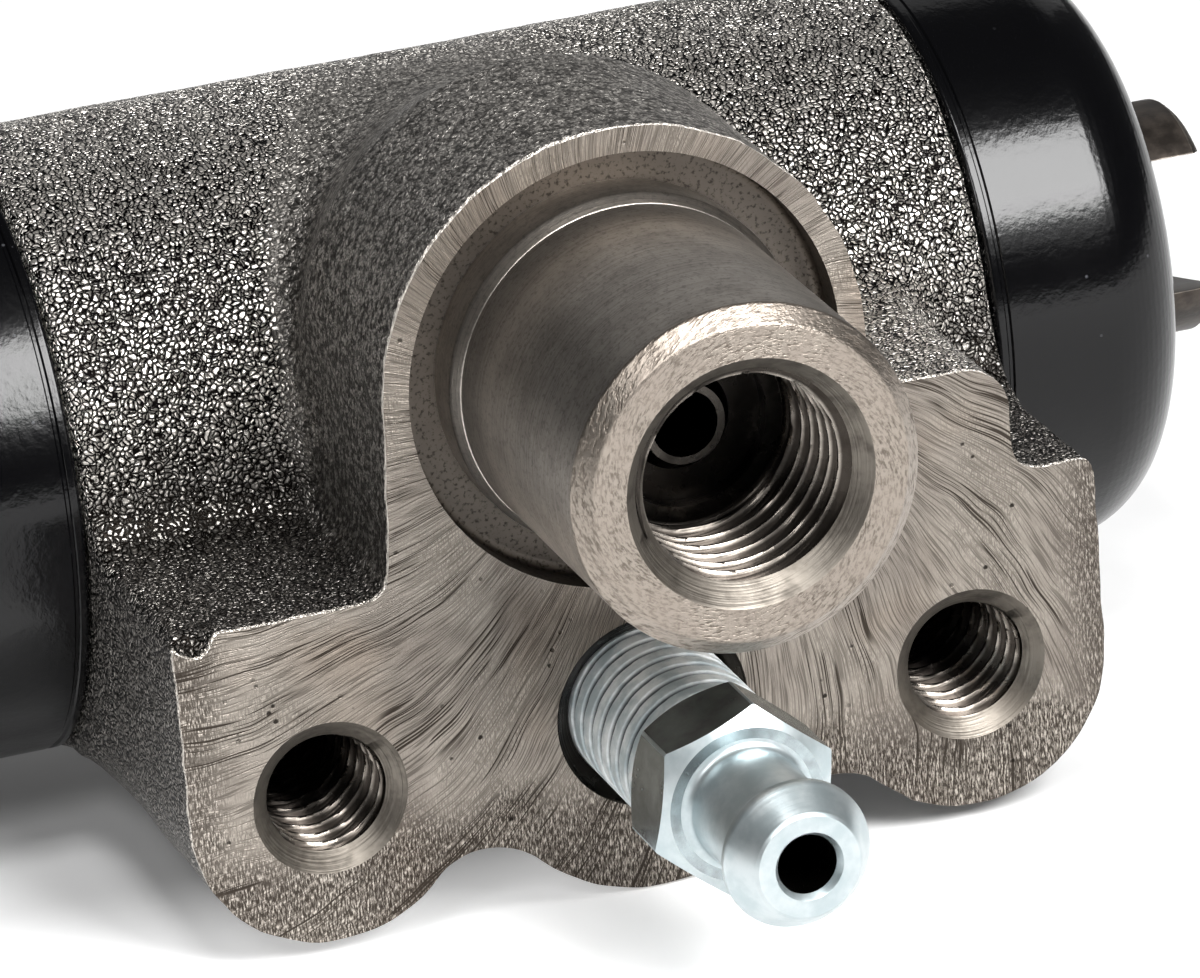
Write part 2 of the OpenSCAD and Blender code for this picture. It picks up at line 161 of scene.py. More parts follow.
class Value:
    """What a node gives out; one that varies as a number takes plain arithmetic."""

    def __init__(self, tree: bpy.types.NodeTree, socket: bpy.types.NodeSocket) -> None:
        """Keeps the tree and the socket."""
        self.tree = tree
        self.socket = socket

    def apply(self, operation: str, *others: Number) -> "Value":
        """One step of arithmetic."""
        return add(self.tree, "ShaderNodeMath", (self, *others), operation=operation)

    def __add__(self, other: Number) -> "Value":
        """The sum."""
        return self.apply("ADD", other)

    def __sub__(self, other: Number) -> "Value":
        """The difference."""
        return self.apply("SUBTRACT", other)

    def __mul__(self, other: Number) -> "Value":
        """The product."""
        return self.apply("MULTIPLY", other)

    def __truediv__(self, other: Number) -> "Value":
        """The quotient."""
        return self.apply("DIVIDE", other)

    def __abs__(self) -> "Value":
        """The size without its sign."""
        return self.apply("ABSOLUTE")

    def __neg__(self) -> "Value":
        """The opposite."""
        return self.apply("MULTIPLY", -1.0)

    def least(self, other: Number, soft: float = 0.0) -> "Value":
        """The smaller of two numbers, rounded off over soft."""
        return self.apply("SMOOTH_MIN", other, soft) if soft else self.apply("MINIMUM", other)

    def most(self, other: Number, soft: float = 0.0) -> "Value":
        """The larger of two numbers, rounded off over soft."""
        return self.apply("SMOOTH_MAX", other, soft) if soft else self.apply("MAXIMUM", other)

    def across(self, other: "Value") -> "Value":
        """The length of the line with these two legs."""
        return (self * self + other * other).apply("SQRT")

    def ramp(self, low: float, high: float) -> "Value":
        """Rises smoothly from 0 at low to 1 at high."""
        return add(self.tree, "ShaderNodeMapRange", (self, low, high), interpolation_type="SMOOTHSTEP")


class Spot(NamedTuple):
    """A place on the part as a node tree sees it: one vector and its three numbers."""

    tree: bpy.types.NodeTree
    vector: Value
    x: Value
    y: Value
    z: Value


def locate(tree: bpy.types.NodeTree, kind: str, out: Union[int, str] = 0, scale: float = 1 / MM) -> Spot:
    """Finds the place that a tree is working on.

    Args:
        tree: The tree.
        kind: The node that knows the place in metres.
        out: The output of that node.
        scale: What the place is multiplied by; millimetres unless given.

    Returns:
        The place.
    """
    vector = add(tree, "ShaderNodeVectorMath", (add(tree, kind, out=out), (scale,) * 3), operation="MULTIPLY")
    parts = add(tree, "ShaderNodeSeparateXYZ", (vector,)).socket.node.outputs
    return Spot(tree, vector, *(Value(tree, part) for part in parts))


# Finishes


@dataclass(frozen=True)
class Look:
    """What a finish puts on its shader: coats of colour over a ground, gloss and a height pattern."""

    ground: str
    coats: Sequence[tuple[Value, str]]
    roughness: Number
    height: Optional[Value] = None
    depth_mm: float = 0.0
    more: Mapping[str, Any] = field(default_factory=dict)


@dataclass(frozen=True)
class Finish:
    """One real material and the way its surface was made."""

    # Width in millimetres, detail and roughness of each grain that the look is made of.
    GRAINS: ClassVar[Sequence[Point]] = ()

    name: str
    colour: str
    metallic: float = 0.0
    roughness: float = 0.5

    def look(self, at: Spot, *grains: Value) -> Look:
        """What the finish looks like at a place."""
        raise NotImplementedError

    def material(self) -> bpy.types.Material:
        """Gives the material, built on its first use.

        Returns:
            The material.
        """
        found = bpy.data.materials.get(self.name)
        if found is not None:
            return found
        material = bpy.data.materials.new(self.name)
        material.use_nodes = True
        tree = material.node_tree
        at = locate(tree, "ShaderNodeTexCoord", "Object")
        grains = []
        for mm, detail, rough in self.GRAINS:
            inputs = {"Vector": at.vector, "Scale": GRAIN / mm, "Detail": detail, "Roughness": rough}
            grains.append(add(tree, NOISE, inputs))
        look = self.look(at, *grains)
        colour = linear(look.ground)
        for share, code in look.coats:
            colour = add(tree, "ShaderNodeMix", {0: share, 6: colour, 7: linear(code)}, 2, data_type="RGBA")
        links = {"Base Color": colour, "Metallic": self.metallic, "Roughness": look.roughness, **look.more}
        if look.height is not None:
            links["Normal"] = add(tree, "ShaderNodeBump", {
                "Strength": 1.0, "Distance": look.depth_mm * MM, "Height": look.height})
        feed(tree.nodes["Principled BSDF"], links)
        return material


@dataclass(frozen=True)
class CastSkin(Finish):
    """Grey iron as cast and shot blasted: dark, pebbled and full of small glints."""

    GRAINS = ((1.3, 3.0, 0.5), (0.15, 2.0, 0.6))
    pebble_mm: float = 0.235
    depth_mm: float = 0.1
    warp_mm: float = 0.3
    warp_reach: float = 0.6
    # the skin is calm within this distance of the spigot's axis,
    # and less far behind the straight part of the boss
    smooth_reach: float = 11.1
    boss_depth: float = 10.5
    edge_mm: float = 0.3

    def look(self, at: Spot, *grains: Value) -> Look:
        """Pebbles everywhere, calmer round the boss, with painted shade in the crevices, on the boss's side
        and towards the bottom, and pale edges at the milled face that are partly wear and partly a painted
        highlight.

        Args:
            at: The place on the part.
            *grains: The coarse and the fine grain.

        Returns:
            The look.
        """
        tree, place, x, y, z = at
        coarse, fine = grains
        warp = add(tree, NOISE, {"Vector": place, "Scale": GRAIN / self.warp_mm, "Detail": 2.0}, "Color")
        shift = add(tree, "ShaderNodeVectorMath", (warp, (self.warp_reach,) * 3), operation="MULTIPLY")
        bent = add(tree, "ShaderNodeVectorMath", (place, shift), operation="ADD")
        inward = add(tree, CELLS, {"Vector": bent, "Scale": 1 / self.pebble_mm}, feature="DISTANCE_TO_EDGE")
        around = x.across(z.most(0.0)) + (y - self.boss_depth).most(0.0) * 0.2
        calm = (-(around + coarse * 2.0 - 1.0)).ramp(-self.smooth_reach - 0.7, -self.smooth_reach + 0.5)
        calm = calm * (-x).ramp(-9.0, -6.0) * (-y).ramp(-28.0, -21.0)
        lively = -calm * 0.62 + 1.0
        edge = (y + fine * 0.3 - 0.15).least(self.edge_mm)
        # painted shade: the crevices between the pebbles go near black, less so on the calm skin
        painted_crevice_shade = (-(inward + fine * 0.14)).ramp(-0.212, -0.14) * (lively * 0.75 + 0.25)
        # painted shade: darker on the calm skin round the boss, more so below the spigot's axis, and darker
        # towards the bottom of the casting
        shade = (calm * ((-z).ramp(-6.0, 0.0) * 0.2 + 0.4)).most((-z + coarse * 2.0).ramp(2.5, 9.0) * 0.64)
        # the dark coat mixes a random speckle of fine grains with that painted shade
        speckle_and_painted_shade = (fine.ramp(0.4, 0.62) * (calm * 0.28 + 0.2) + shade).least(0.92)
        # partly wear and partly a painted highlight: a pale band along the cast edge at the milled face
        wear_and_painted_highlight = (-(y + fine * 0.4)).ramp(-self.edge_mm - 0.25, -self.edge_mm) * 0.9
        return Look(
            self.colour, [(painted_crevice_shade, "#060505"), (speckle_and_painted_shade, "#1B1815"), (wear_and_painted_highlight, "#DAD3CA")],
            calm * 0.12 + fine * 0.12 + self.roughness,
            inward.ramp(0.02, 0.3) * lively + fine * 0.7 + coarse * 1.6 + edge / self.depth_mm, self.depth_mm)


@dataclass(frozen=True)
class MilledFace(Finish):
    """Grey iron cut by a face mill: pale and glossy, with dark arcs swept out from the spigot, and pits."""

    GRAINS = ((3.5, 2.0, 0.5), (2.2, 3.0, 0.5))
    streak_mm: float = 0.075
    hair_mm: float = 0.06
    comb_mm: float = 0.26
    grit_mm: float = 0.075
    sweep_mm: float = 50.0
    pit_mm: float = 0.95
    # the widths hold at this distance from the spigot's axis, where one radian is an arc as long
    radius: float = 16.0

    def look(self, at: Spot, *grains: Value) -> Look:
        """Arcs of the cutter in clusters, then grit and short upright marks towards the lower edge, with
        painted glints among the grit.

        Args:
            at: The place on the part.
            *grains: The wander of the marks and the patches of tone.

        Returns:
            The look.
        """
        tree, place, x, y, z = at
        wander, patch = grains
        reach = x.across(z)
        sweep = x.apply("ARCTAN2", -z) + (reach / self.sweep_mm).apply("ARCSINE") + wander * 0.1
        tall = (x / self.grit_mm, y, z / (self.grit_mm * 4.5))
        streak, hairs, broad, grit = (
            add(tree, NOISE, {
                "Vector": add(tree, XYZ, lane), "Scale": 1.0, "Detail": detail, "Roughness": rough})
            for lane, detail, rough in (
                ((sweep * (self.radius / self.streak_mm), reach * 0.2, 0.0), 1.0, 0.4),
                ((sweep * (self.radius / self.hair_mm), reach * 0.45, 7.0), 1.0, 0.5),
                ((sweep * 11.0, reach * 0.11, 3.0), 2.0, 0.5),
                (tall, 2.0, 0.7)))
        border = (-z + wander * 4.0).ramp(17.6, 22.0).most((abs(x) + wander * 2.0).ramp(18.6, 20.6) * 0.7)
        cuts = streak.ramp(0.53, 0.6) * (broad.ramp(0.47, 0.57) * 0.95 + 0.05)
        comb = (sweep * (2 * math.pi * self.radius / self.comb_mm)).apply("SINE").ramp(0.35, 0.95)
        comb = comb * (-reach).ramp(-25.0, -13.0) * (patch.ramp(0.36, 0.6) * 0.34 + 0.1)
        rough_cut = grit.ramp(0.45, 0.56) * (border * 0.9 + patch.ramp(0.5, 0.64) * 0.34 + 0.14).least(0.95)
        # painted highlight: pale specks in the torn border stand in for glints
        bright = (-grit).ramp(-0.46, -0.36) * border
        dark = cuts.most(rough_cut).most(hairs.ramp(0.46, 0.63) * 0.6).most(comb)
        spots = add(tree, CELLS, {"Vector": place, "Scale": 1 / self.pit_mm})
        pits = (-spots).ramp(-0.13, -0.07) * patch.ramp(0.46, 0.6)
        coats = [
            (patch.ramp(0.3, 0.7), "#AAA298"), (wander.ramp(0.5, 0.8) * 0.25, "#94795F"),
            (border * 0.12 + patch.ramp(0.55, 0.8) * 0.25, "#6B6158"), (bright * 0.6, "#E6DDD2"),
            (dark * 0.92, "#2F2822"), (pits * 0.9, "#1C1815")]
        return Look(self.colour, coats, dark * 0.25 + patch * 0.1 + self.roughness,
                    streak * 0.5 - dark - pits * 3.0 - grit * border * 2.0, 0.02)


@dataclass(frozen=True)
class TurnedIron(Finish):
    """Grey iron turned on a lathe: satin, with fine rings of tool marks round its axis."""

    GRAINS = ((1.1, 5.0, 0.7), (0.1, 2.0, 0.6))
    ring_mm: float = 0.09
    speckle: float = 0.3

    def look(self, at: Spot, *grains: Value) -> Look:
        """Fine rings along the axis over a faint mottle.

        Args:
            at: The place on the part.
            *grains: The mottle and the specks.

        Returns:
            The look.
        """
        tree, _, x, y, z = at
        mottle, speck = grains
        rings = add(tree, XYZ, (y / self.ring_mm, x.across(z) * 0.5, 0.0))
        lines = add(tree, NOISE, {"Vector": rings, "Scale": 1.0, "Roughness": 0.6})
        coats = [(mottle.ramp(0.3, 0.75) * 0.5, "#6F6861"), (lines.ramp(0.45, 0.75) * 0.35, "#5A544E"),
                 (speck.ramp(0.5, 0.7) * self.speckle, "#2A2622")]
        return Look(self.colour, coats, mottle * 0.1 + self.roughness, lines + speck * 0.8, 0.01)


@dataclass(frozen=True)
class FacedIron(Finish):
    """Grey iron faced off in the lathe: pale with short slanting tears from the tool."""

    GRAINS = ((0.8, 3.0, 0.5), (0.09, 2.0, 0.6))
    tear_mm: float = 0.11
    spiral_mm: float = 1.3
    # about the middle radius of the spigot's tip
    radius: float = 6.2

    def look(self, at: Spot, *grains: Value) -> Look:
        """Short tears that run round the axis and a little across it, over a pale ground.

        Args:
            at: The place on the part.
            *grains: The patches of tone and the specks.

        Returns:
            The look.
        """
        tree, _, x, y, z = at
        patch, speck = grains
        turn = z.apply("ARCTAN2", x)
        along, over = turn * self.radius, x.across(z) + turn * self.spiral_mm
        grid = add(tree, XYZ, (over / self.tear_mm, along / (self.tear_mm * 4.0), y * 2.0))
        tears = add(tree, NOISE, {"Vector": grid, "Scale": 1.0, "Roughness": 0.65})
        torn = tears.ramp(0.44, 0.66) * (patch.ramp(0.35, 0.65) * 0.6 + 0.4)
        coats = [(patch.ramp(0.3, 0.7), self.colour), (torn * 0.66, "#4A4038"),
                 (speck.ramp(0.5, 0.72) * 0.35, "#5A5048")]
        return Look("#9D9389", coats, torn * 0.2 + self.roughness, speck * 0.6 - torn, 0.02)


@dataclass(frozen=True)
class TappedIron(Finish):
    """Grey iron cut by a tap or drill: oily, with rings from the tool; painted shade darkens the thread roots
    and the depths of the holes, leaving the crests bright.
    """

    GRAINS = ((0.5, 3.0, 0.6),)
    ring_mm: float = 0.07
    # share of painted shade in the thread roots
    groove: float = 0.0
    # distance of the thread crests from the axes of the inlet and of a bolt hole
    inlet_crest: float = 4.2
    bolt_crest: float = 2.45
    # the inlet starts 14.5 mm in front of the face that the bolt holes start from;
    # its dark is moved less than that, as light reaches deeper in it
    inlet_shift: float = 13.0

    def look(self, at: Spot, *grains: Value) -> Look:
        """Tool rings along the hole, thin oil stains, and painted shade in the thread roots and deep in the
        holes.

        Args:
            at: The place on the part.
            *grains: The stains.

        Returns:
            The look.
        """
        tree, _, x, y, z = at
        stain, = grains
        rings = add(tree, XYZ, (y / self.ring_mm, x * 0.25, z * 0.25))
        lines = add(tree, NOISE, {"Vector": rings, "Scale": 1.0, "Detail": 1.0})
        reach = x.across(z)
        # painted shade: darker deeper in each hole, and in the thread roots away from the crests
        deep = (y - (reach - 6.0).ramp(0.0, 1.0) * self.inlet_shift + self.inlet_shift).ramp(2.5, 7.0)
        hole = reach.least((abs(x) - BOLT_X).across(z - BOLT_Z) + (self.inlet_crest - self.bolt_crest))
        coats = [(stain.ramp(0.4, 0.75) * 0.6, "#35302C"),
                 (hole.ramp(self.inlet_crest, self.inlet_crest + 0.16) * self.groove, "#26211D"),
                 (deep * 0.94, "#0D0B0A")]
        return Look(self.colour, coats, stain * 0.16 + self.roughness, lines + stain * 0.5, 0.02)


@dataclass(frozen=True)
class BootRubber(Finish):
    """Moulded black rubber: a satin skin with a faint grain and a little dust."""

    GRAINS = ((0.22, 3.0, 0.6), (1.8, 3.0, 0.5))
    dust_mm: float = 1.3
    specular_level: float = 0.29

    def look(self, at: Spot, *grains: Value) -> Look:
        """A faint skin, a cloudy gloss and sparse dust.

        Args:
            at: The place on the part.
            *grains: The skin and the clouds.

        Returns:
            The look.
        """
        skin, cloud = grains
        spots = add(at.tree, CELLS, {"Vector": at.vector, "Scale": 1 / self.dust_mm})
        dust = (-spots).ramp(-0.07, -0.04) * cloud.ramp(0.4, 0.6)
        return Look(self.colour, [(dust * 0.6, "#55565A")], cloud * 0.08 + self.roughness,
                    skin + cloud * 1.2, 0.014, {"Specular IOR Level": self.specular_level})


@dataclass(frozen=True)
class ZincPlate(Finish):
    """Steel with bright clear zinc plating: pale and bluish, with fine turning marks under the plate."""

    GRAINS = ((0.7, 4.0, 0.6),)
    ring_mm: float = 0.09
    # share of painted shade in the thread roots
    groove: float = 0.0

    def look(self, at: Spot, *grains: Value) -> Look:
        """Fine rings, a soft cloud in the gloss and the tone, and painted shade in the thread roots.

        Args:
            at: The place on the part.
            *grains: The clouds.

        Returns:
            The look.
        """
        tree, _, x, y, z = at
        cloud, = grains
        reach = x.across(z - BLEEDER_Z)
        rings = add(tree, XYZ, (y / self.ring_mm, reach * 2.0, 0.0))
        lines = add(tree, NOISE, {"Vector": rings, "Scale": 1.0, "Roughness": 0.6})
        # painted shade in the thread roots, inside the crests
        root = (-reach).ramp(-3.405, -3.26) * self.groove
        return Look("#B4C0C3", [(cloud.ramp(0.35, 0.7), self.colour), (root, "#2B3032")],
                    cloud * 0.14 + self.roughness, lines + cloud * 0.5, 0.006)


@dataclass(frozen=True)
class PlainSteel(Finish):
    """Steel as drawn, pressed or turned, with a mottled skin."""

    GRAINS = ((0.5, 4.0, 0.6),)
    shade: str = "#2A2724"

    def look(self, at: Spot, *grains: Value) -> Look:
        """Mottle in colour and gloss."""
        mottle, = grains
        return Look(self.shade, [(mottle.ramp(0.35, 0.7), self.colour)], mottle * 0.2 + self.roughness,
                    mottle, 0.03)


@dataclass(frozen=True)
class PaperFloor(Finish):
    """White photographic paper under the part, with a faint even glow and a pool of light painted into its
    shadow at the front left as glow.
    """

    GRAINS = ((1.5, 3.0, 0.5),)
    ambient: float = 0.07
    painted_pool_glow: float = 0.5

    def look(self, at: Spot, *grains: Value) -> Look:
        """An even white with a trace of fibre, and the painted pool of light.

        Args:
            at: The place on the floor.
            *grains: The fibre.

        Returns:
            The look.
        """
        x, y = at.x, at.y
        # painted light: the floor glows in a pool at the front left of the part, where its shadow falls
        near = (-y).ramp(-12.0, -2.0) * y.ramp(-18.0, -9.0) * (-x).ramp(-9.0, 4.0)
        glow = near * self.painted_pool_glow + self.ambient
        return Look("#E6E6E6", [(grains[0], self.colour)], self.roughness,
                    more={"Emission Color": linear(self.colour), "Emission Strength": glow})


# Sand-cast grey iron, shot blasted: dark with a pebbled skin that throws small white glints.
CAST = CastSkin("grey_iron_as_cast", "#F6F0E8", metallic=1.0, roughness=0.3)
# Grey iron off the face mill: pale, warm and half glossy, mirroring the floor softly between dark arcs.
MILLED = MilledFace("grey_iron_milled", "#8A827A", metallic=1.0, roughness=0.26)
# Grey iron off the lathe: an even satin grey with hair-fine rings.
TURNED = TurnedIron("grey_iron_turned", "#B7B0A8", metallic=1.0, roughness=0.36)
# The same iron in the bottom of a groove, where oil and swarf leave it dull; its darker colour is painted
# shade in the groove.
GROOVE_PAINTED_SHADE = TurnedIron("grey_iron_groove_painted_shade", "#605A54", metallic=1.0, roughness=0.42, speckle=0.8)
# The same iron, paler and glossier, on the step at the spigot's root: its paler colour is a painted highlight
# along that edge.
ROOT_PAINTED_HIGHLIGHT = TurnedIron("grey_iron_root_painted_highlight", "#D2CBC2", metallic=1.0, roughness=0.3, speckle=0.25)
# Grey iron faced off in the lathe: pale and matt, torn in short slanting marks.
FACED = FacedIron("grey_iron_faced", "#9E958B", metallic=1.0, roughness=0.36)
# A countersink in grey iron: bright with open rings from the tool.
SUNK = TappedIron("grey_iron_countersunk", "#7C766E", metallic=1.0, roughness=0.37)
# Drilled and tapped grey iron: wet with oil, so the flanks flash; painted shade darkens the thread roots and
# the depths.
TAPPED = TappedIron("grey_iron_tapped", "#A8A097", metallic=1.0, roughness=0.2, groove=0.93)
# Moulded EPDM rubber: deep black with one soft sheen.
BOOT = BootRubber("black_moulded_rubber", "#040405", roughness=0.13)
# Zinc-plated steel: pale, faintly blue, with crisp dark reflections.
ZINC = ZincPlate("zinc_plated_steel", "#CAD2D4", metallic=0.9, roughness=0.3)
# The same plate on the thread, left matt by the die: a paler, mostly diffuse copy whose paleness is painted
# light, with painted shade in the thread roots.
ZINC_THREAD = ZincPlate("zinc_plated_thread", "#EEF2F2", metallic=0.2, roughness=0.42, groove=0.9)
# The same plate on the spanner flats: smooth enough to mirror the dark iron beside them, and darker in colour
# as painted shade.
ZINC_FLAT = ZincPlate("zinc_plated_flats", "#939A9C", metallic=1.0, roughness=0.18)
# Phosphated steel: brown-black and dull.
DARK_STEEL = PlainSteel("phosphated_steel", "#4A433D", metallic=0.8, roughness=0.36, shade="#2F2A26")
# The same steel rubbed bright along its edges.
BRIGHT_STEEL = PlainSteel("worn_steel_edge", "#8D867E", metallic=1.0, roughness=0.3, shade="#5A544E")
# Drawn spring wire: grey with a soft shine.
SPRING = PlainSteel("drawn_spring_steel", "#A2A29F", metallic=1.0, roughness=0.24, shade="#7C7C7A")
# Pressed steel sheet with a thin yellow passivation.
SHEET = PlainSteel("passivated_steel_sheet", "#B9AE92", metallic=1.0, roughness=0.3, shade="#8F866D")
# Moulded seal rubber: black, wet and a little greyer than the boots.
SEAL = BootRubber("black_seal_rubber", "#121214", roughness=0.36)
# White studio paper: bright and matt.
PAPER = PaperFloor("white_paper", "#ECECEC", roughness=0.8)


# Meshes


def geometry_tree(name: str, numbers: Sequence[str], counts: Sequence[str] = ()
                  ) -> tuple[bpy.types.NodeTree, dict[str, Value]]:
    """Starts a geometry tree with named inputs, the last of which is the finish.

    Args:
        name: Name of the tree.
        numbers: Names of the inputs that are sizes.
        counts: Names of the inputs that are whole numbers.

    Returns:
        The tree and its inputs by name.
    """
    tree = bpy.data.node_groups.new(name, "GeometryNodeTree")
    tree.interface.new_socket("Geometry", in_out="OUTPUT", socket_type="NodeSocketGeometry")
    for labels, kind in ((counts, "Int"), (numbers, "Float"), (("Finish",), "Material")):
        for label in labels:
            tree.interface.new_socket(label, in_out="INPUT", socket_type=f"NodeSocket{kind}")
    group = tree.nodes.new("NodeGroupInput")
    return tree, {label: Value(tree, group.outputs[label]) for label in (*counts, *numbers, "Finish")}


def end_tree(tree: bpy.types.NodeTree, mesh: Value, finish: Value) -> None:
    """Ends a geometry tree: real geometry, smooth shading and one material.

    Args:
        tree: The tree.
        mesh: The shape.
        finish: The material.
    """
    real = add(tree, "GeometryNodeRealizeInstances", (mesh,))
    smooth = add(tree, "GeometryNodeSetShadeSmooth", (real,))
    dressed = add(tree, "GeometryNodeSetMaterial", {"Geometry": smooth, "Material": finish})
    feed(tree.nodes.new("NodeGroupOutput"), (dressed,))


def make(name: str, tree: bpy.types.NodeTree, finish: Finish, **values: float) -> bpy.types.Mesh:
    """Runs a geometry tree with its named sizes and keeps the result as a plain mesh.

    Args:
        name: Name of the mesh.
        tree: The geometry tree.
        finish: The finish of the mesh.
        **values: What each other input is set to.

    Returns:
        The mesh.
    """
    maker = bpy.data.objects.new(name, bpy.data.meshes.new(f"{name}_seed"))
    bpy.context.scene.collection.objects.link(maker)
    modifier = maker.modifiers.new("shape", "NODES")
    modifier.node_group = tree
    sockets = {item.name: item.identifier for item in tree.interface.items_tree if item.in_out == "INPUT"}
    for key, value in {**values, "Finish": finish.material()}.items():
        modifier[sockets[key]] = value
    mesh = bpy.data.meshes.new_from_object(maker.evaluated_get(bpy.context.evaluated_depsgraph_get()))
    maker.modifiers.clear()
    bpy.data.objects.remove(maker)
    mesh.name = name
    return mesh


def from_faces(name: str, points: np.ndarray, faces: Sequence, finish: Finish) -> bpy.types.Mesh:
    """Makes a closed mesh with its faces turned outwards.

    Args:
        name: Name of the mesh.
        points: Corner places in metres.
        faces: Corner numbers of each face.
        finish: The finish on every face.

    Returns:
        The mesh.
    """
    mesh = bpy.data.meshes.new(name)
    mesh.from_pydata([tuple(p) for p in points], [], [tuple(f) for f in faces])
    shape = bmesh.new()
    shape.from_mesh(mesh)
    bmesh.ops.remove_doubles(shape, verts=shape.verts, dist=1e-7)
    bmesh.ops.recalc_face_normals(shape, faces=shape.faces)
    shape.to_mesh(mesh)
    shape.free()
    mesh.materials.append(finish.material())
    return mesh


def pinned(profile: Profile, closed: bool, gap: float = 0.06) -> list[tuple[float, float]]:
    """Adds a corner near both ends of each long line of a profile, so that its flats shade flat.

    Args:
        profile: Radius and height of each corner in millimetres.
        closed: Whether the last corner joins the first.
        gap: Distance of the new corners from the old ones in millimetres.

    Returns:
        The longer profile.
    """
    points = []
    for k, (a, b) in enumerate(zip(profile, [*profile[1:], profile[0]])):
        points.append(a)
        length = math.dist(a, b)
        if length > 4 * gap and (closed or k < len(profile) - 1):
            for share in (gap / length, 1 - gap / length):
                points.append((a[0] + (b[0] - a[0]) * share, a[1] + (b[1] - a[1]) * share))
    return points


def turned(name: str, profile: Profile, axis: Axis, at: Point, finish: Finish,
           steps: int = 96) -> bpy.types.Mesh:
    """Turns a profile about an axis, as on a lathe.

    Args:
        name: Name of the mesh.
        profile: Radius and height of each corner in millimetres; a ring unless both ends are on the axis.
        axis: The way the axis runs.
        at: A point on the axis in millimetres.
        finish: The finish.
        steps: Number of steps round the axis.

    Returns:
        The mesh.
    """
    angles = np.arange(steps) * 2 * math.pi / steps
    on_axis = profile[0][0] == 0 and profile[-1][0] == 0
    profile = pinned(profile, not on_axis)
    count = len(profile)
    points = np.array([
        (r * math.cos(a) * MM, r * math.sin(a) * MM, h * MM) for a in angles for r, h in profile])
    rows = count - 1 if on_axis else count
    faces = []
    for i in range(steps):
        here, there = i * count, (i + 1) % steps * count
        for k in range(rows):
            n = (k + 1) % count
            corners = [here + k, here + n, there + n, there + k]
            if on_axis and k == 0:
                corners = [0, here + n, there + n]
            elif on_axis and k == rows - 1:
                corners = [here + k, count - 1, there + k]
            faces.append(corners)
    mesh = from_faces(name, points, faces, finish)
    mesh.transform(axis.placed(at))
    return mesh


def block(name: str, low: Point, high: Point, finish: Finish,
          turn: Optional[Matrix] = None) -> bpy.types.Mesh:
    """Makes a block.

    Args:
        name: Name of the mesh.
        low: Its lowest corner in millimetres.
        high: Its highest corner in millimetres.
        finish: The finish.
        turn: A matrix that moves it.

    Returns:
        The mesh.
    """
    points = np.array([[(low, high)[k][0], (low, high)[j][1], (low, high)[i][2]]
                       for i in (0, 1) for j in (0, 1) for k in (0, 1)]) * MM
    faces = [(0, 1, 3, 2), (4, 5, 7, 6), (0, 1, 5, 4), (2, 3, 7, 6), (0, 2, 6, 4), (1, 3, 7, 5)]
    mesh = from_faces(name, points, faces, finish)
    if turn is not None:
        mesh.transform(turn)
    return mesh


def rounded(centre: tuple[float, float], radius: float, start: float, stop: float, steps: int = 8) -> list:
    """Points of a round corner in a profile, from one angle to another in degrees."""
    angles = np.radians(np.linspace(start, stop, steps + 1))
    return [(centre[0] + radius * math.cos(a), centre[1] + radius * math.sin(a)) for a in angles]


def carve(mesh: bpy.types.Mesh, how: Cut, *tools: bpy.types.Mesh) -> bpy.types.Mesh:
    """Joins, cuts or trims a solid by others, one after another; new faces keep the tool's finish.

    Args:
        mesh: The solid that changes.
        how: What is done.
        *tools: The other solids.

    Returns:
        The new solid.
    """
    for tool in tools:
        items = [bpy.data.objects.new("solid", mesh), bpy.data.objects.new("tool", tool)]
        for item in items:
            bpy.context.scene.collection.objects.link(item)
        step = items[0].modifiers.new("carve", "BOOLEAN")
        step.solver = "MANIFOLD"
        step.operation = how.value
        step.object = items[1]
        step.material_mode = "TRANSFER"
        done = bpy.data.meshes.new_from_object(items[0].evaluated_get(bpy.context.evaluated_depsgraph_get()))
        for item in items:
            bpy.data.objects.remove(item)
        if not done.polygons:
            raise ValueError(f"{how.name} of {mesh.name} and {tool.name} left nothing")
        done.name = mesh.name
        mesh = done
    return mesh


def break_edges(mesh: bpy.types.Mesh, width: float, angle: float, finish: Finish) -> None:
    """Breaks the sharp edges of a mesh with a narrow bright bevel.

    Args:
        mesh: The mesh that changes.
        width: Width of the bevel in millimetres.
        angle: Edges sharper than this many degrees are broken.
        finish: The finish of the bevel.
    """
    mesh.materials.append(finish.material())
    shape = bmesh.new()
    shape.from_mesh(mesh)
    bmesh.ops.remove_doubles(shape, verts=shape.verts, dist=1e-6)
    bmesh.ops.dissolve_limit(shape, angle_limit=math.radians(0.5), verts=shape.verts, edges=shape.edges)
    sharp = [e for e in shape.edges if len(e.link_faces) == 2 and math.degrees(e.calc_face_angle()) > angle]
    bmesh.ops.bevel(shape, geom=sharp, offset=width * MM, segments=2, profile=0.5, affect="EDGES",
                    material=len(mesh.materials) - 1, clamp_overlap=True)
    shape.to_mesh(mesh)
    shape.free()


def show(name: str, mesh: bpy.types.Mesh, sharp: float = 32.0) -> bpy.types.Object:
    """Puts a finished mesh in the scene.

    Args:
        name: Name of the piece.
        mesh: Its mesh, already in place.
        sharp: Edges sharper than this many degrees stay sharp.

    Returns:
        The piece.
    """
    mesh.shade_smooth()
    mesh.set_sharp_from_angle(angle=math.radians(sharp))
    piece = bpy.data.objects.new(name, mesh)
    bpy.context.scene.collection.objects.link(piece)
    LOG.info("%s: %d faces", name, len(mesh.polygons))
    return piece


# Pieces


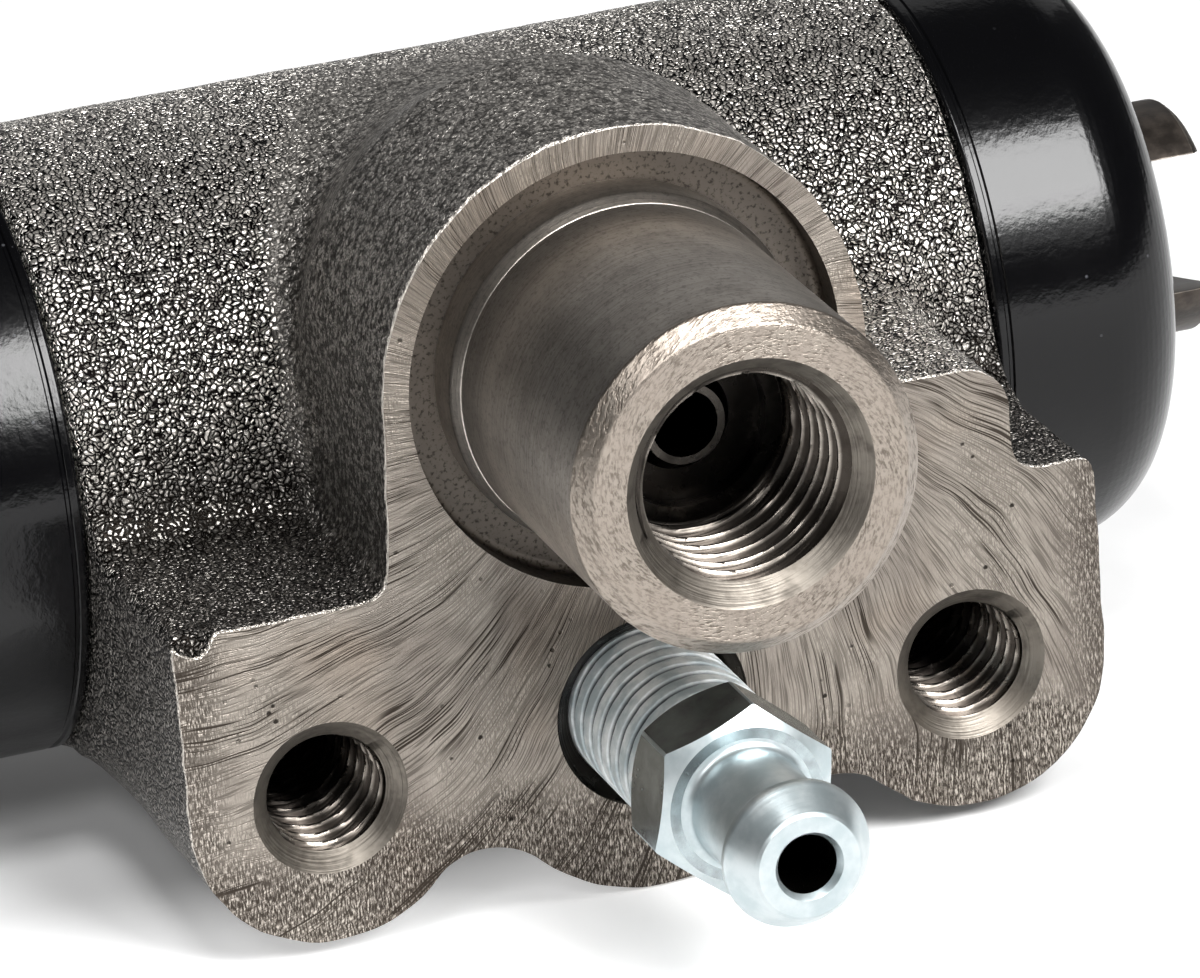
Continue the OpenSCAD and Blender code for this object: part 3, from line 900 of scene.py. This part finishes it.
@dataclass(frozen=True)
class Thread:
    """A screw thread as a solid: the metal of a screw, or the hollow that a tap leaves."""

    core: float
    crest: float
    pitch: float
    length: float
    columns: int = 64
    rows_per_turn: int = 12
    flank: float = 0.72

    @staticmethod
    def tree() -> bpy.types.NodeTree:
        """The geometry tree: a cylinder whose wall swells along a helix and fades at both ends.

        Returns:
            The tree, built on its first use.
        """
        found = bpy.data.node_groups.get("screw_thread")
        if found:
            return found
        tree, given = geometry_tree(
            "screw_thread", ("Core", "Crest", "Pitch", "Length", "Flank"), ("Columns", "Rows"))
        columns, rows, core, crest, pitch, length, flank, finish = given.values()
        rod = add(tree, "GeometryNodeMeshCylinder", {
            "Vertices": columns, "Side Segments": rows, "Radius": core, "Depth": length})
        _, _, x, y, z = locate(tree, "GeometryNodeInputPosition", scale=1.0)
        turn = y.apply("ARCTAN2", x) / (2 * math.pi)
        phase = (z / pitch - turn).apply("FRACT")
        ridge = ((abs(phase - 0.5) * 2.0 - 0.08) / flank).most(0.0).least(1.0)
        fade = ((length * 0.5 - abs(z)) / pitch * 1.4).most(0.0).least(1.0)
        swell = (crest - core) * ridge * fade / core + 1.0
        moved = add(tree, XYZ, (x * swell, y * swell, z))
        end_tree(tree, add(tree, "GeometryNodeSetPosition", {"Geometry": rod, "Position": moved}), finish)
        return tree

    def build(self, name: str, at: Point, finish: Finish) -> bpy.types.Mesh:
        """Makes the threaded rod along the spigot.

        Args:
            name: Name of the mesh.
            at: Its middle in millimetres.
            finish: The finish.

        Returns:
            The mesh.
        """
        mesh = make(name, self.tree(), finish, Columns=self.columns,
                    Rows=round(self.length / self.pitch * self.rows_per_turn), Core=self.core * MM,
                    Crest=self.crest * MM, Pitch=self.pitch * MM, Length=self.length * MM, Flank=self.flank)
        mesh.transform(Axis.ALONG_SPIGOT.placed(at))
        return mesh


@dataclass
class CastBody:
    """The cast body: barrel, boss and lobed flange in one casting, then milled, turned, bored and tapped."""

    voxel: float = 0.36
    low: Point = (-21.2, -1.6, -24.0)
    high: Point = (21.2, 38.6, 11.4)
    waviness: float = 0.22
    # scales of the mould's slow and quick waves, per millimetre
    slow_scale: float = 0.32
    quick_scale: float = 0.75
    barrel_r: float = 13.4
    half_barrel: float = 20.3
    bore_r: float = 9.525
    half_bore: float = 25.9
    bore_chamfer: float = 0.6
    nose_r: float = 11.575
    bead_inset: float = 1.1
    bead_w: float = 1.6
    bead_depth: float = 0.7
    boss_r: float = 10.4
    boss_depth: float = 10.5
    boss_back: float = 22.0
    boss_taper: float = 0.42
    neck_flare: float = 0.05
    neck_drop: float = 9.0
    flange_depth: float = 16.0
    shelf_z: float = -7.8
    ear_z: float = -16.2
    ear_r: float = 6.0
    lobe_r: float = 7.8
    scallop: Point = (7.722, -22.41, 2.9)
    step_x: float = 16.5
    step_z: float = -2.9
    step_r: float = 2.0
    step_depth: float = 14.0
    # rounding of the barrel's ends and the shelf, of the flange's back and of the step's back
    rim_round: float = 0.9
    back_round: float = 1.6
    step_round: float = 1.2
    # fillets between the flange, step, boss and barrel
    step_fillet: float = 1.6
    boss_fillet: float = 2.3
    barrel_fillet: float = 4.2
    spigot_r: float = 7.3
    spigot_tip: float = -14.5
    spigot_embed: float = 5.0
    root_r: float = 7.62
    groove_r: float = 9.32
    groove_depth: float = 1.8
    groove_bend: float = 0.35
    # the inlet's countersink, sump and floor, as depths from the spigot's tip
    inlet_sink: float = 1.0
    inlet_sump: float = 6.2
    inlet_floor: float = 8.4
    inlet_r: float = 4.2
    inlet_sink_r: float = 5.14
    inlet_thread: Thread = Thread(4.15, 4.86, 1.02, 7.6, 80)
    # from the end of the countersink to the middle of the thread
    inlet_thread_at: float = 2.8
    sump_r: float = 3.5
    seat_r: float = 1.65
    seat_foot_r: float = 2.15
    seat_h: float = 0.9
    passage_r: float = 1.25
    # the bolt holes and the bleeder hole, as depths from the milled face
    bolt_r: float = 2.45
    bolt_depth: float = 12.0
    bolt_cone: float = 1.4
    bolt_sink: float = 0.9
    bolt_sink_r: float = 3.26
    bolt_thread: Thread = Thread(2.42, 2.98, 0.98, 11.6)
    bolt_thread_at: float = 6.3
    bleeder_r: float = 3.475
    bleeder_depth: float = 8.4
    bleeder_seat: float = 10.6
    bleeder_passage_r: float = 0.9
    bleeder_passage_end: float = 24.0
    bleeder_sink: float = 0.7
    bleeder_sink_r: float = 4.12
    chip: Point = (-19.2, -7.95, 0.8)

    def blank_tree(self) -> bpy.types.NodeTree:
        """The geometry tree of the casting: soft unions of its forms, with the waviness of a sand mould.

        Returns:
            The tree.
        """
        tree, given = geometry_tree("cast_blank", (
            "Barrel radius", "Boss radius", "Ear radius", "Lobe radius", "Waviness"))
        barrel_r, boss_r, ear_r, lobe_r, waviness, finish = given.values()
        _, place, x, y, z = locate(tree, "GeometryNodeInputPosition")
        wide, drop = abs(x), -z
        barrel = ((y - BORE[1]).across(z - BORE[2]) - barrel_r).most(wide - self.half_barrel, self.rim_round)
        slim = boss_r + drop.most(0.0) * self.neck_flare - (y - self.boss_depth).most(0.0) * self.boss_taper
        boss = (x.across(z.most(0.0)) - slim).most(drop - self.neck_drop).most(y - self.boss_back)
        ears = (wide - BOLT_X).across((z - self.ear_z).least(0.0)) - ear_r
        lobe = x.across(z - BLEEDER_Z) - lobe_r
        web = (wide - BOLT_X).most(drop + self.ear_z)
        cut_x, cut_z, cut_r = self.scallop
        valley = self.valley(wide, z).most(-(wide - cut_x).across(z - cut_z) + cut_r)
        outline = ears.least(lobe).least(web).least(valley)
        flange = outline.most(z - self.shelf_z, self.rim_round).most(y - self.flange_depth, self.back_round)
        over_x, over_z = x - (self.step_x - self.step_r), z - (self.step_z - self.step_r)
        step = over_x.most(0.0).across(over_z.most(0.0)) + over_x.most(over_z).least(0.0) - self.step_r
        step = step.most(-x).most(drop - self.neck_drop).most(y - self.step_depth, self.step_round)
        whole = flange.least(step, self.step_fillet).least(boss, self.boss_fillet)
        whole = whole.least(barrel, self.barrel_fillet).most(wide - self.half_barrel)
        slow = add(tree, NOISE, {"Vector": place, "Scale": self.slow_scale, "Detail": 3.0})
        quick = add(tree, NOISE, {"Vector": place, "Scale": self.quick_scale, "Detail": 2.0})
        ragged = -(y.ramp(0.4, 1.6)) * 0.8 + 1.0
        whole = whole + (slow - 0.5) * waviness + (quick - 0.5) * ragged * (waviness * 1.3)
        chip = (x - self.chip[0]).across(z - self.chip[1]).across(y * 0.8) - self.chip[2]
        counts = [round((b - a) / self.voxel) for a, b in zip(self.low, self.high)]
        cloud = add(tree, "GeometryNodeVolumeCube", {
            "Density": -whole.most(-chip, 0.3), "Background": -1.0,
            "Min": [c * MM for c in self.low], "Max": [c * MM for c in self.high],
            "Resolution X": counts[0], "Resolution Y": counts[1], "Resolution Z": counts[2]})
        skin = add(tree, "GeometryNodeVolumeToMesh", {"Volume": cloud, "Threshold": 0.0},
                   resolution_mode="GRID")
        end_tree(tree, skin, finish)
        return tree

    def valley(self, wide: Value, z: Value) -> Value:
        """The wedge of metal between an ear, the middle lobe and the scallop's centre.

        Args:
            wide: Distance from the middle plane.
            z: Height.

        Returns:
            Distance from the wedge, negative in it.
        """
        corners = [(0.0, BLEEDER_Z), self.scallop[:2], (BOLT_X, self.ear_z)]
        inside: Optional[Value] = None
        for (ax, az), (bx, bz) in zip(corners, corners[1:] + corners[:1]):
            run, rise = bx - ax, bz - az
            length = math.hypot(run, rise)
            edge = (wide - ax) * (rise / length) - (z - az) * (run / length)
            inside = edge if inside is None else inside.most(edge)
        return inside

    def blank(self) -> bpy.types.Mesh:
        """The raw casting.

        Returns:
            The mesh.
        """
        return make("cast_body", self.blank_tree(), CAST, **{
            "Barrel radius": self.barrel_r, "Boss radius": self.boss_r, "Ear radius": self.ear_r,
            "Lobe radius": self.lobe_r, "Waviness": self.waviness})

    def outside(self, body: bpy.types.Mesh) -> bpy.types.Mesh:
        """Mills the face, cuts the relief groove and adds the turned spigot and barrel ends.

        Args:
            body: The raw casting.

        Returns:
            The casting, machined outside.
        """
        tip, r, root, rim, floor, bend = (
            self.spigot_tip, self.spigot_r, self.root_r, self.groove_r, self.groove_depth, self.groove_bend)
        deep = self.spigot_embed
        groove = [(root - 0.6, -1.0), (rim, -1.0), (rim, floor - bend),
                  *rounded((rim - bend, floor - bend), bend, 0, 90, 4), (root - 0.6, floor)]
        bar = [(0.0, deep), (root - 0.02, deep), (root - 0.02, 0.3), (r, 0.0), (r, tip - 1.0),
               (0.0, tip - 1.0)]
        step = [(0.0, deep), (root, deep), (root, 0.02), (root - 0.06, -0.1), (r + 0.02, -0.62),
                (r - 0.1, -0.7), (0.0, -0.7)]
        facing = [(0.0, tip), (r - 0.78, tip), (r - 0.68, tip + 0.03), (r - 0.03, tip + 0.68), (r, tip + 0.8),
                  (r + 0.4, tip + 1.4), (r + 0.4, tip - 3.0), (0.0, tip - 3.0)]
        end, nose, bead = self.half_bore, self.nose_r, self.half_barrel + self.bead_inset
        low, past = nose - self.bead_depth, bead + self.bead_w
        half = [(nose, bead), (low, bead), (low, past), (nose, past), (nose, end - 0.2), (nose - 0.2, end)]
        ends = [(0.0, -end), *[(a, -b) for a, b in reversed(half)], *half, (0.0, end)]
        body = carve(body, Cut.TAKE, block("face_mill", (-30, -8, -30), (30, 0, 20), MILLED))
        for how, name, shape, finish, steps in (
                (Cut.TAKE, "groove_tool", groove, GROOVE_PAINTED_SHADE, 96), (Cut.JOIN, "spigot", bar, TURNED, 128),
                (Cut.JOIN, "root", step, ROOT_PAINTED_HIGHLIGHT, 128), (Cut.TAKE, "facing_tool", facing, FACED, 128)):
            body = carve(body, how, turned(name, shape, Axis.ALONG_SPIGOT, SPIGOT, finish, steps))
        return carve(body, Cut.JOIN, turned("barrel_ends", ends, Axis.ALONG_BORE, BORE, TURNED))

    def inside(self, body: bpy.types.Mesh) -> bpy.types.Mesh:
        """Bores the barrel, drills the passages and taps the inlet, bolt holes and bleeder hole.

        Args:
            body: The casting, machined outside.

        Returns:
            The finished casting.
        """
        end, bore, lead, past = self.half_bore, self.bore_r, self.bore_chamfer, 1.0
        wide = bore + (lead + past)
        through = [(0.0, -end - past), (wide, -end - past), (bore, -end + lead), (bore, end - lead),
                   (wide, end + past), (0.0, end + past)]
        return carve(body, Cut.TAKE, turned("bore", through, Axis.ALONG_BORE, BORE, TURNED),
                     *self.inlet_tools(), *self.bolt_tools(), *self.bleeder_tools())

    def inlet_tools(self) -> list[bpy.types.Mesh]:
        """The hollow of the inlet: countersink, thread, sump with its raised seat, and the passage.

        Returns:
            The tools in order of use.
        """
        tip, r, hole = self.spigot_tip, self.inlet_r, self.passage_r
        floor, sink, sump = tip + self.inlet_floor, tip + self.inlet_sink, tip + self.inlet_sump
        top, low, wide = floor - self.seat_h, self.sump_r, self.inlet_sink_r
        hollow = [(0.0, top), (self.seat_r, top), (self.seat_foot_r, floor), (low, floor), (low, sump + 1.0),
                  (r, sump), (r, tip - 1.0), (0.0, tip - 1.0)]
        port = [(0.0, floor - 2.0), (hole + 0.15, floor - 2.0), (hole + 0.15, floor - 0.3), (hole, floor),
                (hole, BORE[1]), (0.0, BORE[1])]
        cone = [(0.0, sink), (r, sink), (r + 0.08, sink - 0.06), (wide, tip + 0.07), (wide + 0.18, tip - 0.1),
                (wide + 0.46, tip - 1.0), (0.0, tip - 1.0)]
        return [turned("inlet", hollow, Axis.ALONG_SPIGOT, SPIGOT, TAPPED),
                turned("port", port, Axis.ALONG_SPIGOT, SPIGOT, TAPPED, 32),
                self.inlet_thread.build("inlet_tap", (0, sink + self.inlet_thread_at, 0), TAPPED),
                turned("inlet_sink", cone, Axis.ALONG_SPIGOT, SPIGOT, SUNK)]

    def bolt_tools(self) -> list[bpy.types.Mesh]:
        """The hollows of the two tapped bolt holes with their countersinks.

        Returns:
            The tools in order of use.
        """
        r, deep, sink, wide = self.bolt_r, self.bolt_depth, self.bolt_sink, self.bolt_sink_r
        hollow = [(0.0, deep + self.bolt_cone), (r, deep), (r, -0.3), (0.0, -0.3)]
        cone = [(0.0, sink), (r, sink), (r + 0.07, sink - 0.08), (wide, 0.06), (wide + 0.16, -0.1),
                (wide + 0.34, -0.4), (0.0, -0.4)]
        tools = []
        for x in (-BOLT_X, BOLT_X):
            at = (x, 0.0, BOLT_Z)
            tools += [turned("bolt_drill", hollow, Axis.ALONG_SPIGOT, at, TAPPED),
                      self.bolt_thread.build("bolt_tap", (x, self.bolt_thread_at, BOLT_Z), TAPPED),
                      turned("bolt_sink", cone, Axis.ALONG_SPIGOT, at, SUNK)]
        return tools

    def bleeder_tools(self) -> list[bpy.types.Mesh]:
        """The hollow of the bleeder hole with its seat, passage and countersink.

        Returns:
            The tools in order of use.
        """
        r, thin, end = self.bleeder_r, self.bleeder_passage_r, self.bleeder_passage_end
        sink, wide = self.bleeder_sink, self.bleeder_sink_r
        hollow = [(0.0, end), (thin, end), (thin, self.bleeder_seat), (r, self.bleeder_depth), (r, -0.3),
                  (0.0, -0.3)]
        cone = [(0.0, sink), (r, sink), (wide, 0.05), (wide + 0.18, -0.1), (wide + 0.48, -0.4), (0.0, -0.4)]
        return [turned(name, shape, Axis.ALONG_SPIGOT, (0.0, 0.0, BLEEDER_Z), TAPPED)
                for name, shape in (("bleeder_drill", hollow), ("bleeder_sink", cone))]

    def build(self) -> bpy.types.Object:
        """Makes the finished body and seats it in the housing.

        Returns:
            The piece.
        """
        piece = show("cast_body_skin", self.inside(self.outside(self.blank())), 38.0)
        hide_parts("cylinder_body")
        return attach(piece, "housing")


@dataclass
class BleederScrew:
    """The bleeder screw: thread, hexagon, neck and hose head, zinc plated."""

    thread_r: float = 3.43
    root_r: float = 2.98
    pitch: float = 1.07
    thread_start: float = 7.6
    thread_end: float = -7.2
    thread_overlap: float = 0.6
    hex_af: float = 7.2
    hex_h: float = 3.9
    hex_turn: float = 20.0
    bevel_r: float = 3.3
    neck_r: float = 2.45
    neck_len: float = 4.1
    head_r: float = 3.1
    tip_r: float = 2.2
    head_len: float = 2.9
    vent_r: float = 1.25
    vent_end: float = 5.2
    # the cone that closes the passage: its tip and its foot, as depths from the milled face
    cone_tip: float = 9.7
    cone_tip_r: float = 0.8
    cone_foot: float = 7.5
    cone_foot_r: float = 2.9

    def hexagon(self, at: Point) -> bpy.types.Mesh:
        """The hexagon with its corners turned off at both ends.

        Args:
            at: A point on the screw's axis in millimetres.

        Returns:
            The mesh.
        """
        corner = self.hex_af / 2 / math.cos(math.pi / 6)
        front, back = self.thread_end - self.hex_h, self.thread_end
        ring = [(corner * math.cos(a), corner * math.sin(a))
                for a in np.radians(self.hex_turn + 60.0 * np.arange(6))]
        points = np.array([(at[0] + x, y, at[2] + z) for y in (back, front) for x, z in ring]) * MM
        sides = [(i, (i + 1) % 6, 6 + (i + 1) % 6, 6 + i) for i in range(6)]
        mesh = from_faces("hexagon", points, [tuple(range(6)), tuple(range(6, 12)), *sides], ZINC_FLAT)
        break_edges(mesh, 0.1, 20.0, ZINC)
        wide, past = self.bevel_r + 2.6, corner + 1.0
        nose = [(0.0, front - 0.1), (self.bevel_r - 0.17, front - 0.1), (wide, front + 1.5),
                (wide, back + 1.0), (0.0, back + 1.0)]
        heel = [(0.0, front - 1.0), (past, front - 1.0), (past, back - 1.9), (corner - 0.7, back),
                (0.0, back)]
        return carve(mesh, Cut.KEEP, turned("hex_bevel", nose, Axis.ALONG_SPIGOT, at, ZINC),
                     turned("hex_heel", heel, Axis.ALONG_SPIGOT, at, ZINC_FLAT))

    def build(self) -> bpy.types.Object:
        """Makes the screw and lets it turn.

        Returns:
            The piece.
        """
        at = (0.0, 0.0, BLEEDER_Z)
        first, last, lap = self.thread_start, self.thread_end, self.thread_overlap
        neck = self.thread_end - self.hex_h
        head = neck - self.neck_len
        tip = head - self.head_len
        r, big, hole = self.neck_r, self.head_r, self.vent_r
        foot, foot_r = self.cone_foot, self.cone_foot_r
        shaft = [(0.0, self.cone_tip), (self.cone_tip_r, self.cone_tip - 0.1), (foot_r, foot),
                 (foot_r, foot - 0.5), (r, foot - 0.5), (r, neck - 0.25), (r, head + 0.35),
                 *rounded((r + 0.5, head), 0.5, 180, 235, 5),
                 (big - 0.08, head - 1.05), (big, head - 1.2), (big, head - 1.45), (big - 0.06, head - 1.58),
                 (self.tip_r + 0.06, tip + 0.1), (self.tip_r - 0.06, tip), (0.0, tip)]
        collar = [(0.0, neck + 0.5), (r + 0.45, neck + 0.5), (r + 0.3, neck),
                  *rounded((r + 0.4, neck - 0.4), 0.4, 90, 180, 5), (0.0, neck - 0.4)]
        vent = [(0.0, tip - 1.0), (hole, tip - 1.0), (hole, self.vent_end), (0.0, self.vent_end)]
        sink = [(0.0, tip - 1.0), (hole + 1.2, tip - 1.0), (hole + 0.2, tip), (hole + 0.12, tip + 0.1),
                (hole, tip + 0.3), (0.0, tip + 0.3)]
        thread = Thread(self.root_r, self.thread_r, self.pitch, first - last + lap, 96, 18, 0.3)
        body = thread.build("bleeder_screw_body", (0, (first + last - lap) / 2, BLEEDER_Z), ZINC_THREAD)
        body = carve(body, Cut.JOIN, self.hexagon(at),
                     turned("bleeder_shaft", shaft, Axis.ALONG_SPIGOT, at, ZINC),
                     turned("neck_root", collar, Axis.ALONG_SPIGOT, at, ZINC))
        body = carve(body, Cut.TAKE, turned("vent", vent, Axis.ALONG_SPIGOT, at, TAPPED, 64),
                     turned("vent_sink", sink, Axis.ALONG_SPIGOT, at, ZINC, 64))
        piece = show("bleeder_screw_plated", body, 30.0)
        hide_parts("bleeder_screw")
        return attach(piece, "bleeder")


@dataclass
class DustBoot:
    """A rubber boot over one end of the barrel, with its lip in the piston's groove."""

    side: Side
    start: float = 20.4
    outer_r: float = 13.225
    fit_r: float = 11.72
    bead_r: float = 10.925
    bead_inset: float = 1.1
    shoulder_r: float = 4.2
    inner_shoulder_r: float = 2.5
    end: float = 29.95
    lip_at: float = 26.15
    lip_w: float = 1.5
    lip_r: float = 4.45
    ring_r: float = 7.0
    # the wall's ends along the bore: at the barrel and at the piston
    fixed_at: float = 22.0
    moved_at: float = 26.1

    def profile(self) -> list[tuple[float, float]]:
        """The boot's section: rim, wall, shoulder, dished end, lip and bead.

        Returns:
            Radius and place along the bore of each corner in millimetres.
        """
        turn, hub = self.end - self.shoulder_r, self.outer_r - self.shoulder_r
        s, r, fit, ring, past = self.start, self.outer_r, self.fit_r, self.ring_r, self.lip_at + self.lip_w
        rim = [(r - 0.3, s), *rounded((r - 0.18, s + 0.18), 0.18, -90, 0, 3), (r, s + 0.42),
               (r - 0.09, s + 0.5), (r - 0.09, s + 0.62), (r, s + 0.7)]
        wall = [(r, s + h) for h in np.linspace(1.2, turn - s - 0.6, 8)]
        dome = rounded((hub, turn), self.shoulder_r, 0, 90, 20)
        dish = [(hub - 0.35, self.end), *rounded((hub - 0.45, self.end - 0.25), 0.25, 80, 150, 3),
                (ring + 0.25, past + 0.25), (ring, past)]
        lip = [(self.lip_r, past), (self.lip_r, self.lip_at), (ring, self.lip_at)]
        cave = rounded((hub, turn), self.inner_shoulder_r, 90, 6, 10)
        bead, hold = s + self.bead_inset, self.bead_r
        inner = [(fit, turn + 0.25), (fit, bead + 1.4), (hold, bead + 1.4), (hold, bead + 0.1),
                 (fit, bead + 0.1), (fit, s)]
        return rim + wall + dome + dish + lip + cave + inner

    def build(self) -> bpy.types.Object:
        """Makes the boot, whose wall runs from the barrel to the piston.

        Returns:
            The piece.
        """
        way, name = self.side.value, f"dust_boot_{self.side.word}_rubber"
        profile = [(r, h * way) for r, h in self.profile()]
        piece = show(name, turned(name, profile, Axis.ALONG_BORE, BORE, BOOT, 160), 40.0)
        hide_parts(f"dust_boot_{self.side.word}")
        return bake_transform(piece)


@dataclass
class Piston:
    """A piston with its grooved stem and the slot for the brake shoe."""

    side: Side
    inner: float = 12.0
    outer: float = 24.0
    guide_r: float = 9.495
    stem_r: float = 5.2
    groove: Point = (26.05, 27.75, 4.4)
    end: float = 34.2
    slot_root: float = 28.9
    slot_w: float = 5.9
    slot_turn: float = 14.0

    def build(self) -> bpy.types.Object:
        """Makes the piston and lets it slide.

        Returns:
            The piece.
        """
        way, near, far, low = self.side.value, *self.groove
        r, g, name = self.stem_r, self.guide_r, f"piston_{self.side.word}_steel"
        profile = [(0.0, self.inner), (g - 0.5, self.inner), (g, self.inner + 0.5), (g, self.outer - 0.5),
                   (g - 0.5, self.outer), (r, self.outer), (r, near), (low, near), (low, far), (r, far),
                   (r, self.end - 0.35), (r - 0.35, self.end), (0.0, self.end)]
        mesh = turned(name, [(a, b * way) for a, b in profile], Axis.ALONG_BORE, BORE, DARK_STEEL, 72)
        turn = Matrix.Translation(Vector(BORE) * MM) @ Matrix.Rotation(math.radians(-self.slot_turn), 4, "X")
        ends, half = sorted((self.slot_root * way, (self.end + 1) * way)), self.slot_w / 2
        slot = block("slot", (ends[0], -12, -half), (ends[1], 12, half), DARK_STEEL, turn)
        mesh = carve(mesh, Cut.TAKE, slot)
        break_edges(mesh, 0.12, 40.0, BRIGHT_STEEL)
        piece = show(name, mesh, 40.0)
        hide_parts(f"piston_{self.side.word}")
        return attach(piece, self.side.body)


@dataclass
class ReturnSpring:
    """The coil spring between the pistons, in two halves, one at each end."""

    reach: float = 9.15
    mean_r: float = 4.7
    wire_r: float = 0.45
    turns: float = 5.0

    @staticmethod
    def tree() -> bpy.types.NodeTree:
        """The geometry tree: a round wire swept along a spiral.

        Returns:
            The tree, built on its first use.
        """
        found = bpy.data.node_groups.get("coil_spring")
        if found:
            return found
        tree, given = geometry_tree("coil_spring", ("Turns", "Radius", "Height", "Wire"))
        turns, radius, height, wire_r, finish = given.values()
        path = add(tree, "GeometryNodeCurveSpiral", {
            "Resolution": 32, "Rotations": turns, "Start Radius": radius, "End Radius": radius,
            "Height": height})
        wire = add(tree, "GeometryNodeCurvePrimitiveCircle", {"Resolution": 12, "Radius": wire_r})
        swept = add(tree, "GeometryNodeCurveToMesh", {
            "Curve": path, "Profile Curve": wire, "Fill Caps": True})
        end_tree(tree, swept, finish)
        return tree

    def build(self, side: Side) -> bpy.types.Object:
        """Makes one half of the spring.

        Args:
            side: The end that the half is at.

        Returns:
            The piece.
        """
        way = side.value
        mesh = make(f"return_spring_{side.word}", self.tree(), SPRING, Turns=self.turns / 2,
                    Radius=self.mean_r * MM, Height=(self.reach - self.wire_r) * MM, Wire=self.wire_r * MM)
        place = Axis.ALONG_BORE.placed(BORE)
        mesh.transform(place @ Matrix.Rotation(math.pi, 4, "X") if way < 0 else place)
        piece = show(f"return_spring_{side.word}_half", mesh)
        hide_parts("return_spring")
        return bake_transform(piece)


@dataclass
class InnerParts:
    """The seals and expanders inside the bore, whose solids are right as they are."""

    seal: Finish = SEAL
    expander: Finish = SHEET

    def dress(self) -> None:
        """Gives each hidden part its finish."""
        for name, finish in (("cup_seal", self.seal), ("cup_expander", self.expander)):
            for side in Side:
                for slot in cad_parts[f"{name}_{side.word}"].material_slots:
                    slot.link = "OBJECT"
                    slot.material = finish.material()


@dataclass(frozen=True)
class Softbox:
    """A soft light: its direction in degrees as for the camera, distance and size in metres, and watts."""

    name: str
    azimuth: float
    elevation: float
    distance: float
    size: tuple[float, float]
    power: float


@dataclass
class Studio:
    """Camera, floor and lights."""

    azimuth: float = -18.082
    elevation: float = 21.279
    roll: float = -4.591
    target: Point = (-1.522, 0.0, -4.857)
    distance: float = 367.01
    lens: float = 270.0
    sensor: float = 36.0
    floor_z: float = -22.9
    floor_reach: float = 1.2
    sky: str = "#F2F4F6"
    sky_strength: float = 0.05
    lights: Sequence[Softbox] = (
        Softbox("key", 28.0, 42.0, 0.7, (0.34, 0.36), 8.4),
        Softbox("skirt", 30.0, 27.0, 0.9, (0.46, 0.3), 0.5),
        Softbox("fill", -36.0, 40.0, 0.8, (0.2, 0.2), 1.4),
        Softbox("top", -14.0, 66.0, 0.8, (0.2, 0.2), 2.6),
        Softbox("back", 165.0, 28.0, 0.8, (0.9, 0.5), 0.6))

    @staticmethod
    def towards(azimuth: float, elevation: float) -> Vector:
        """The direction from the part at these angles in degrees."""
        a, e = math.radians(azimuth), math.radians(elevation)
        return Vector((math.sin(a) * math.cos(e), -math.cos(a) * math.cos(e), math.sin(e)))

    def camera(self) -> None:
        """Stands the camera where the photograph was taken from."""
        back, r = self.towards(self.azimuth, self.elevation), math.radians(self.roll)
        level = (-back).cross(Vector((0, 0, 1))).normalized()
        rise = level.cross(-back)
        right, up = level * math.cos(r) + rise * math.sin(r), rise * math.cos(r) - level * math.sin(r)
        data = bpy.data.cameras.new("camera")
        data.lens, data.sensor_width, data.sensor_fit = self.lens, self.sensor, "HORIZONTAL"
        data.clip_start, data.clip_end = 0.01, 20.0
        camera = bpy.data.objects.new("camera", data)
        place = Matrix((right, up, back)).transposed().to_4x4()
        place.translation = (Vector(self.target) + back * self.distance) * MM
        camera.matrix_world = place
        bpy.context.scene.collection.objects.link(camera)
        bpy.context.scene.camera = camera

    def floor(self) -> None:
        """Lays the paper that the flange stands on."""
        points = [(self.floor_reach * i, self.floor_reach * j, self.floor_z * MM)
                  for i, j in ((-1, -1), (1, -1), (1, 1), (-1, 1))]
        mesh = bpy.data.meshes.new("floor")
        mesh.from_pydata(points, [], [(0, 1, 2, 3)])
        mesh.materials.append(PAPER.material())
        floor = bpy.data.objects.new("floor", mesh)
        bpy.context.scene.collection.objects.link(floor)

    def hang(self, light: Softbox) -> None:
        """Hangs a soft light that faces the part.

        Args:
            light: The light.
        """
        back = self.towards(light.azimuth, light.elevation)
        data = bpy.data.lights.new(light.name, "AREA")
        data.shape, data.energy = "RECTANGLE", light.power
        data.size, data.size_y = light.size
        lamp = bpy.data.objects.new(light.name, data)
        lamp.location = back * light.distance
        lamp.rotation_mode = "QUATERNION"
        lamp.rotation_quaternion = back.to_track_quat("Z", "Y")
        lamp.visible_camera = False
        bpy.context.scene.collection.objects.link(lamp)

    def build(self) -> None:
        """Sets up the camera, the floor and the soft studio light."""
        self.camera()
        self.floor()
        world = bpy.data.worlds.new("studio")
        world.use_nodes = True
        feed(world.node_tree.nodes["Background"], (linear(self.sky), self.sky_strength))
        bpy.context.scene.world = world
        bpy.context.scene.view_settings.view_transform = "Standard"
        for light in self.lights:
            self.hang(light)


def main() -> None:
    """Builds every sub-assembly in order and logs when the part is dressed."""
    logging.basicConfig(level=logging.INFO, format="%(name)s %(message)s")
    Studio().build()
    CastBody().build()
    BleederScrew().build()
    for side in Side:
        DustBoot(side).build()
        Piston(side).build()
        ReturnSpring().build(side)
    InnerParts().dress()
    LOG.info("dressed")


if __name__ == "__main__":
    main()
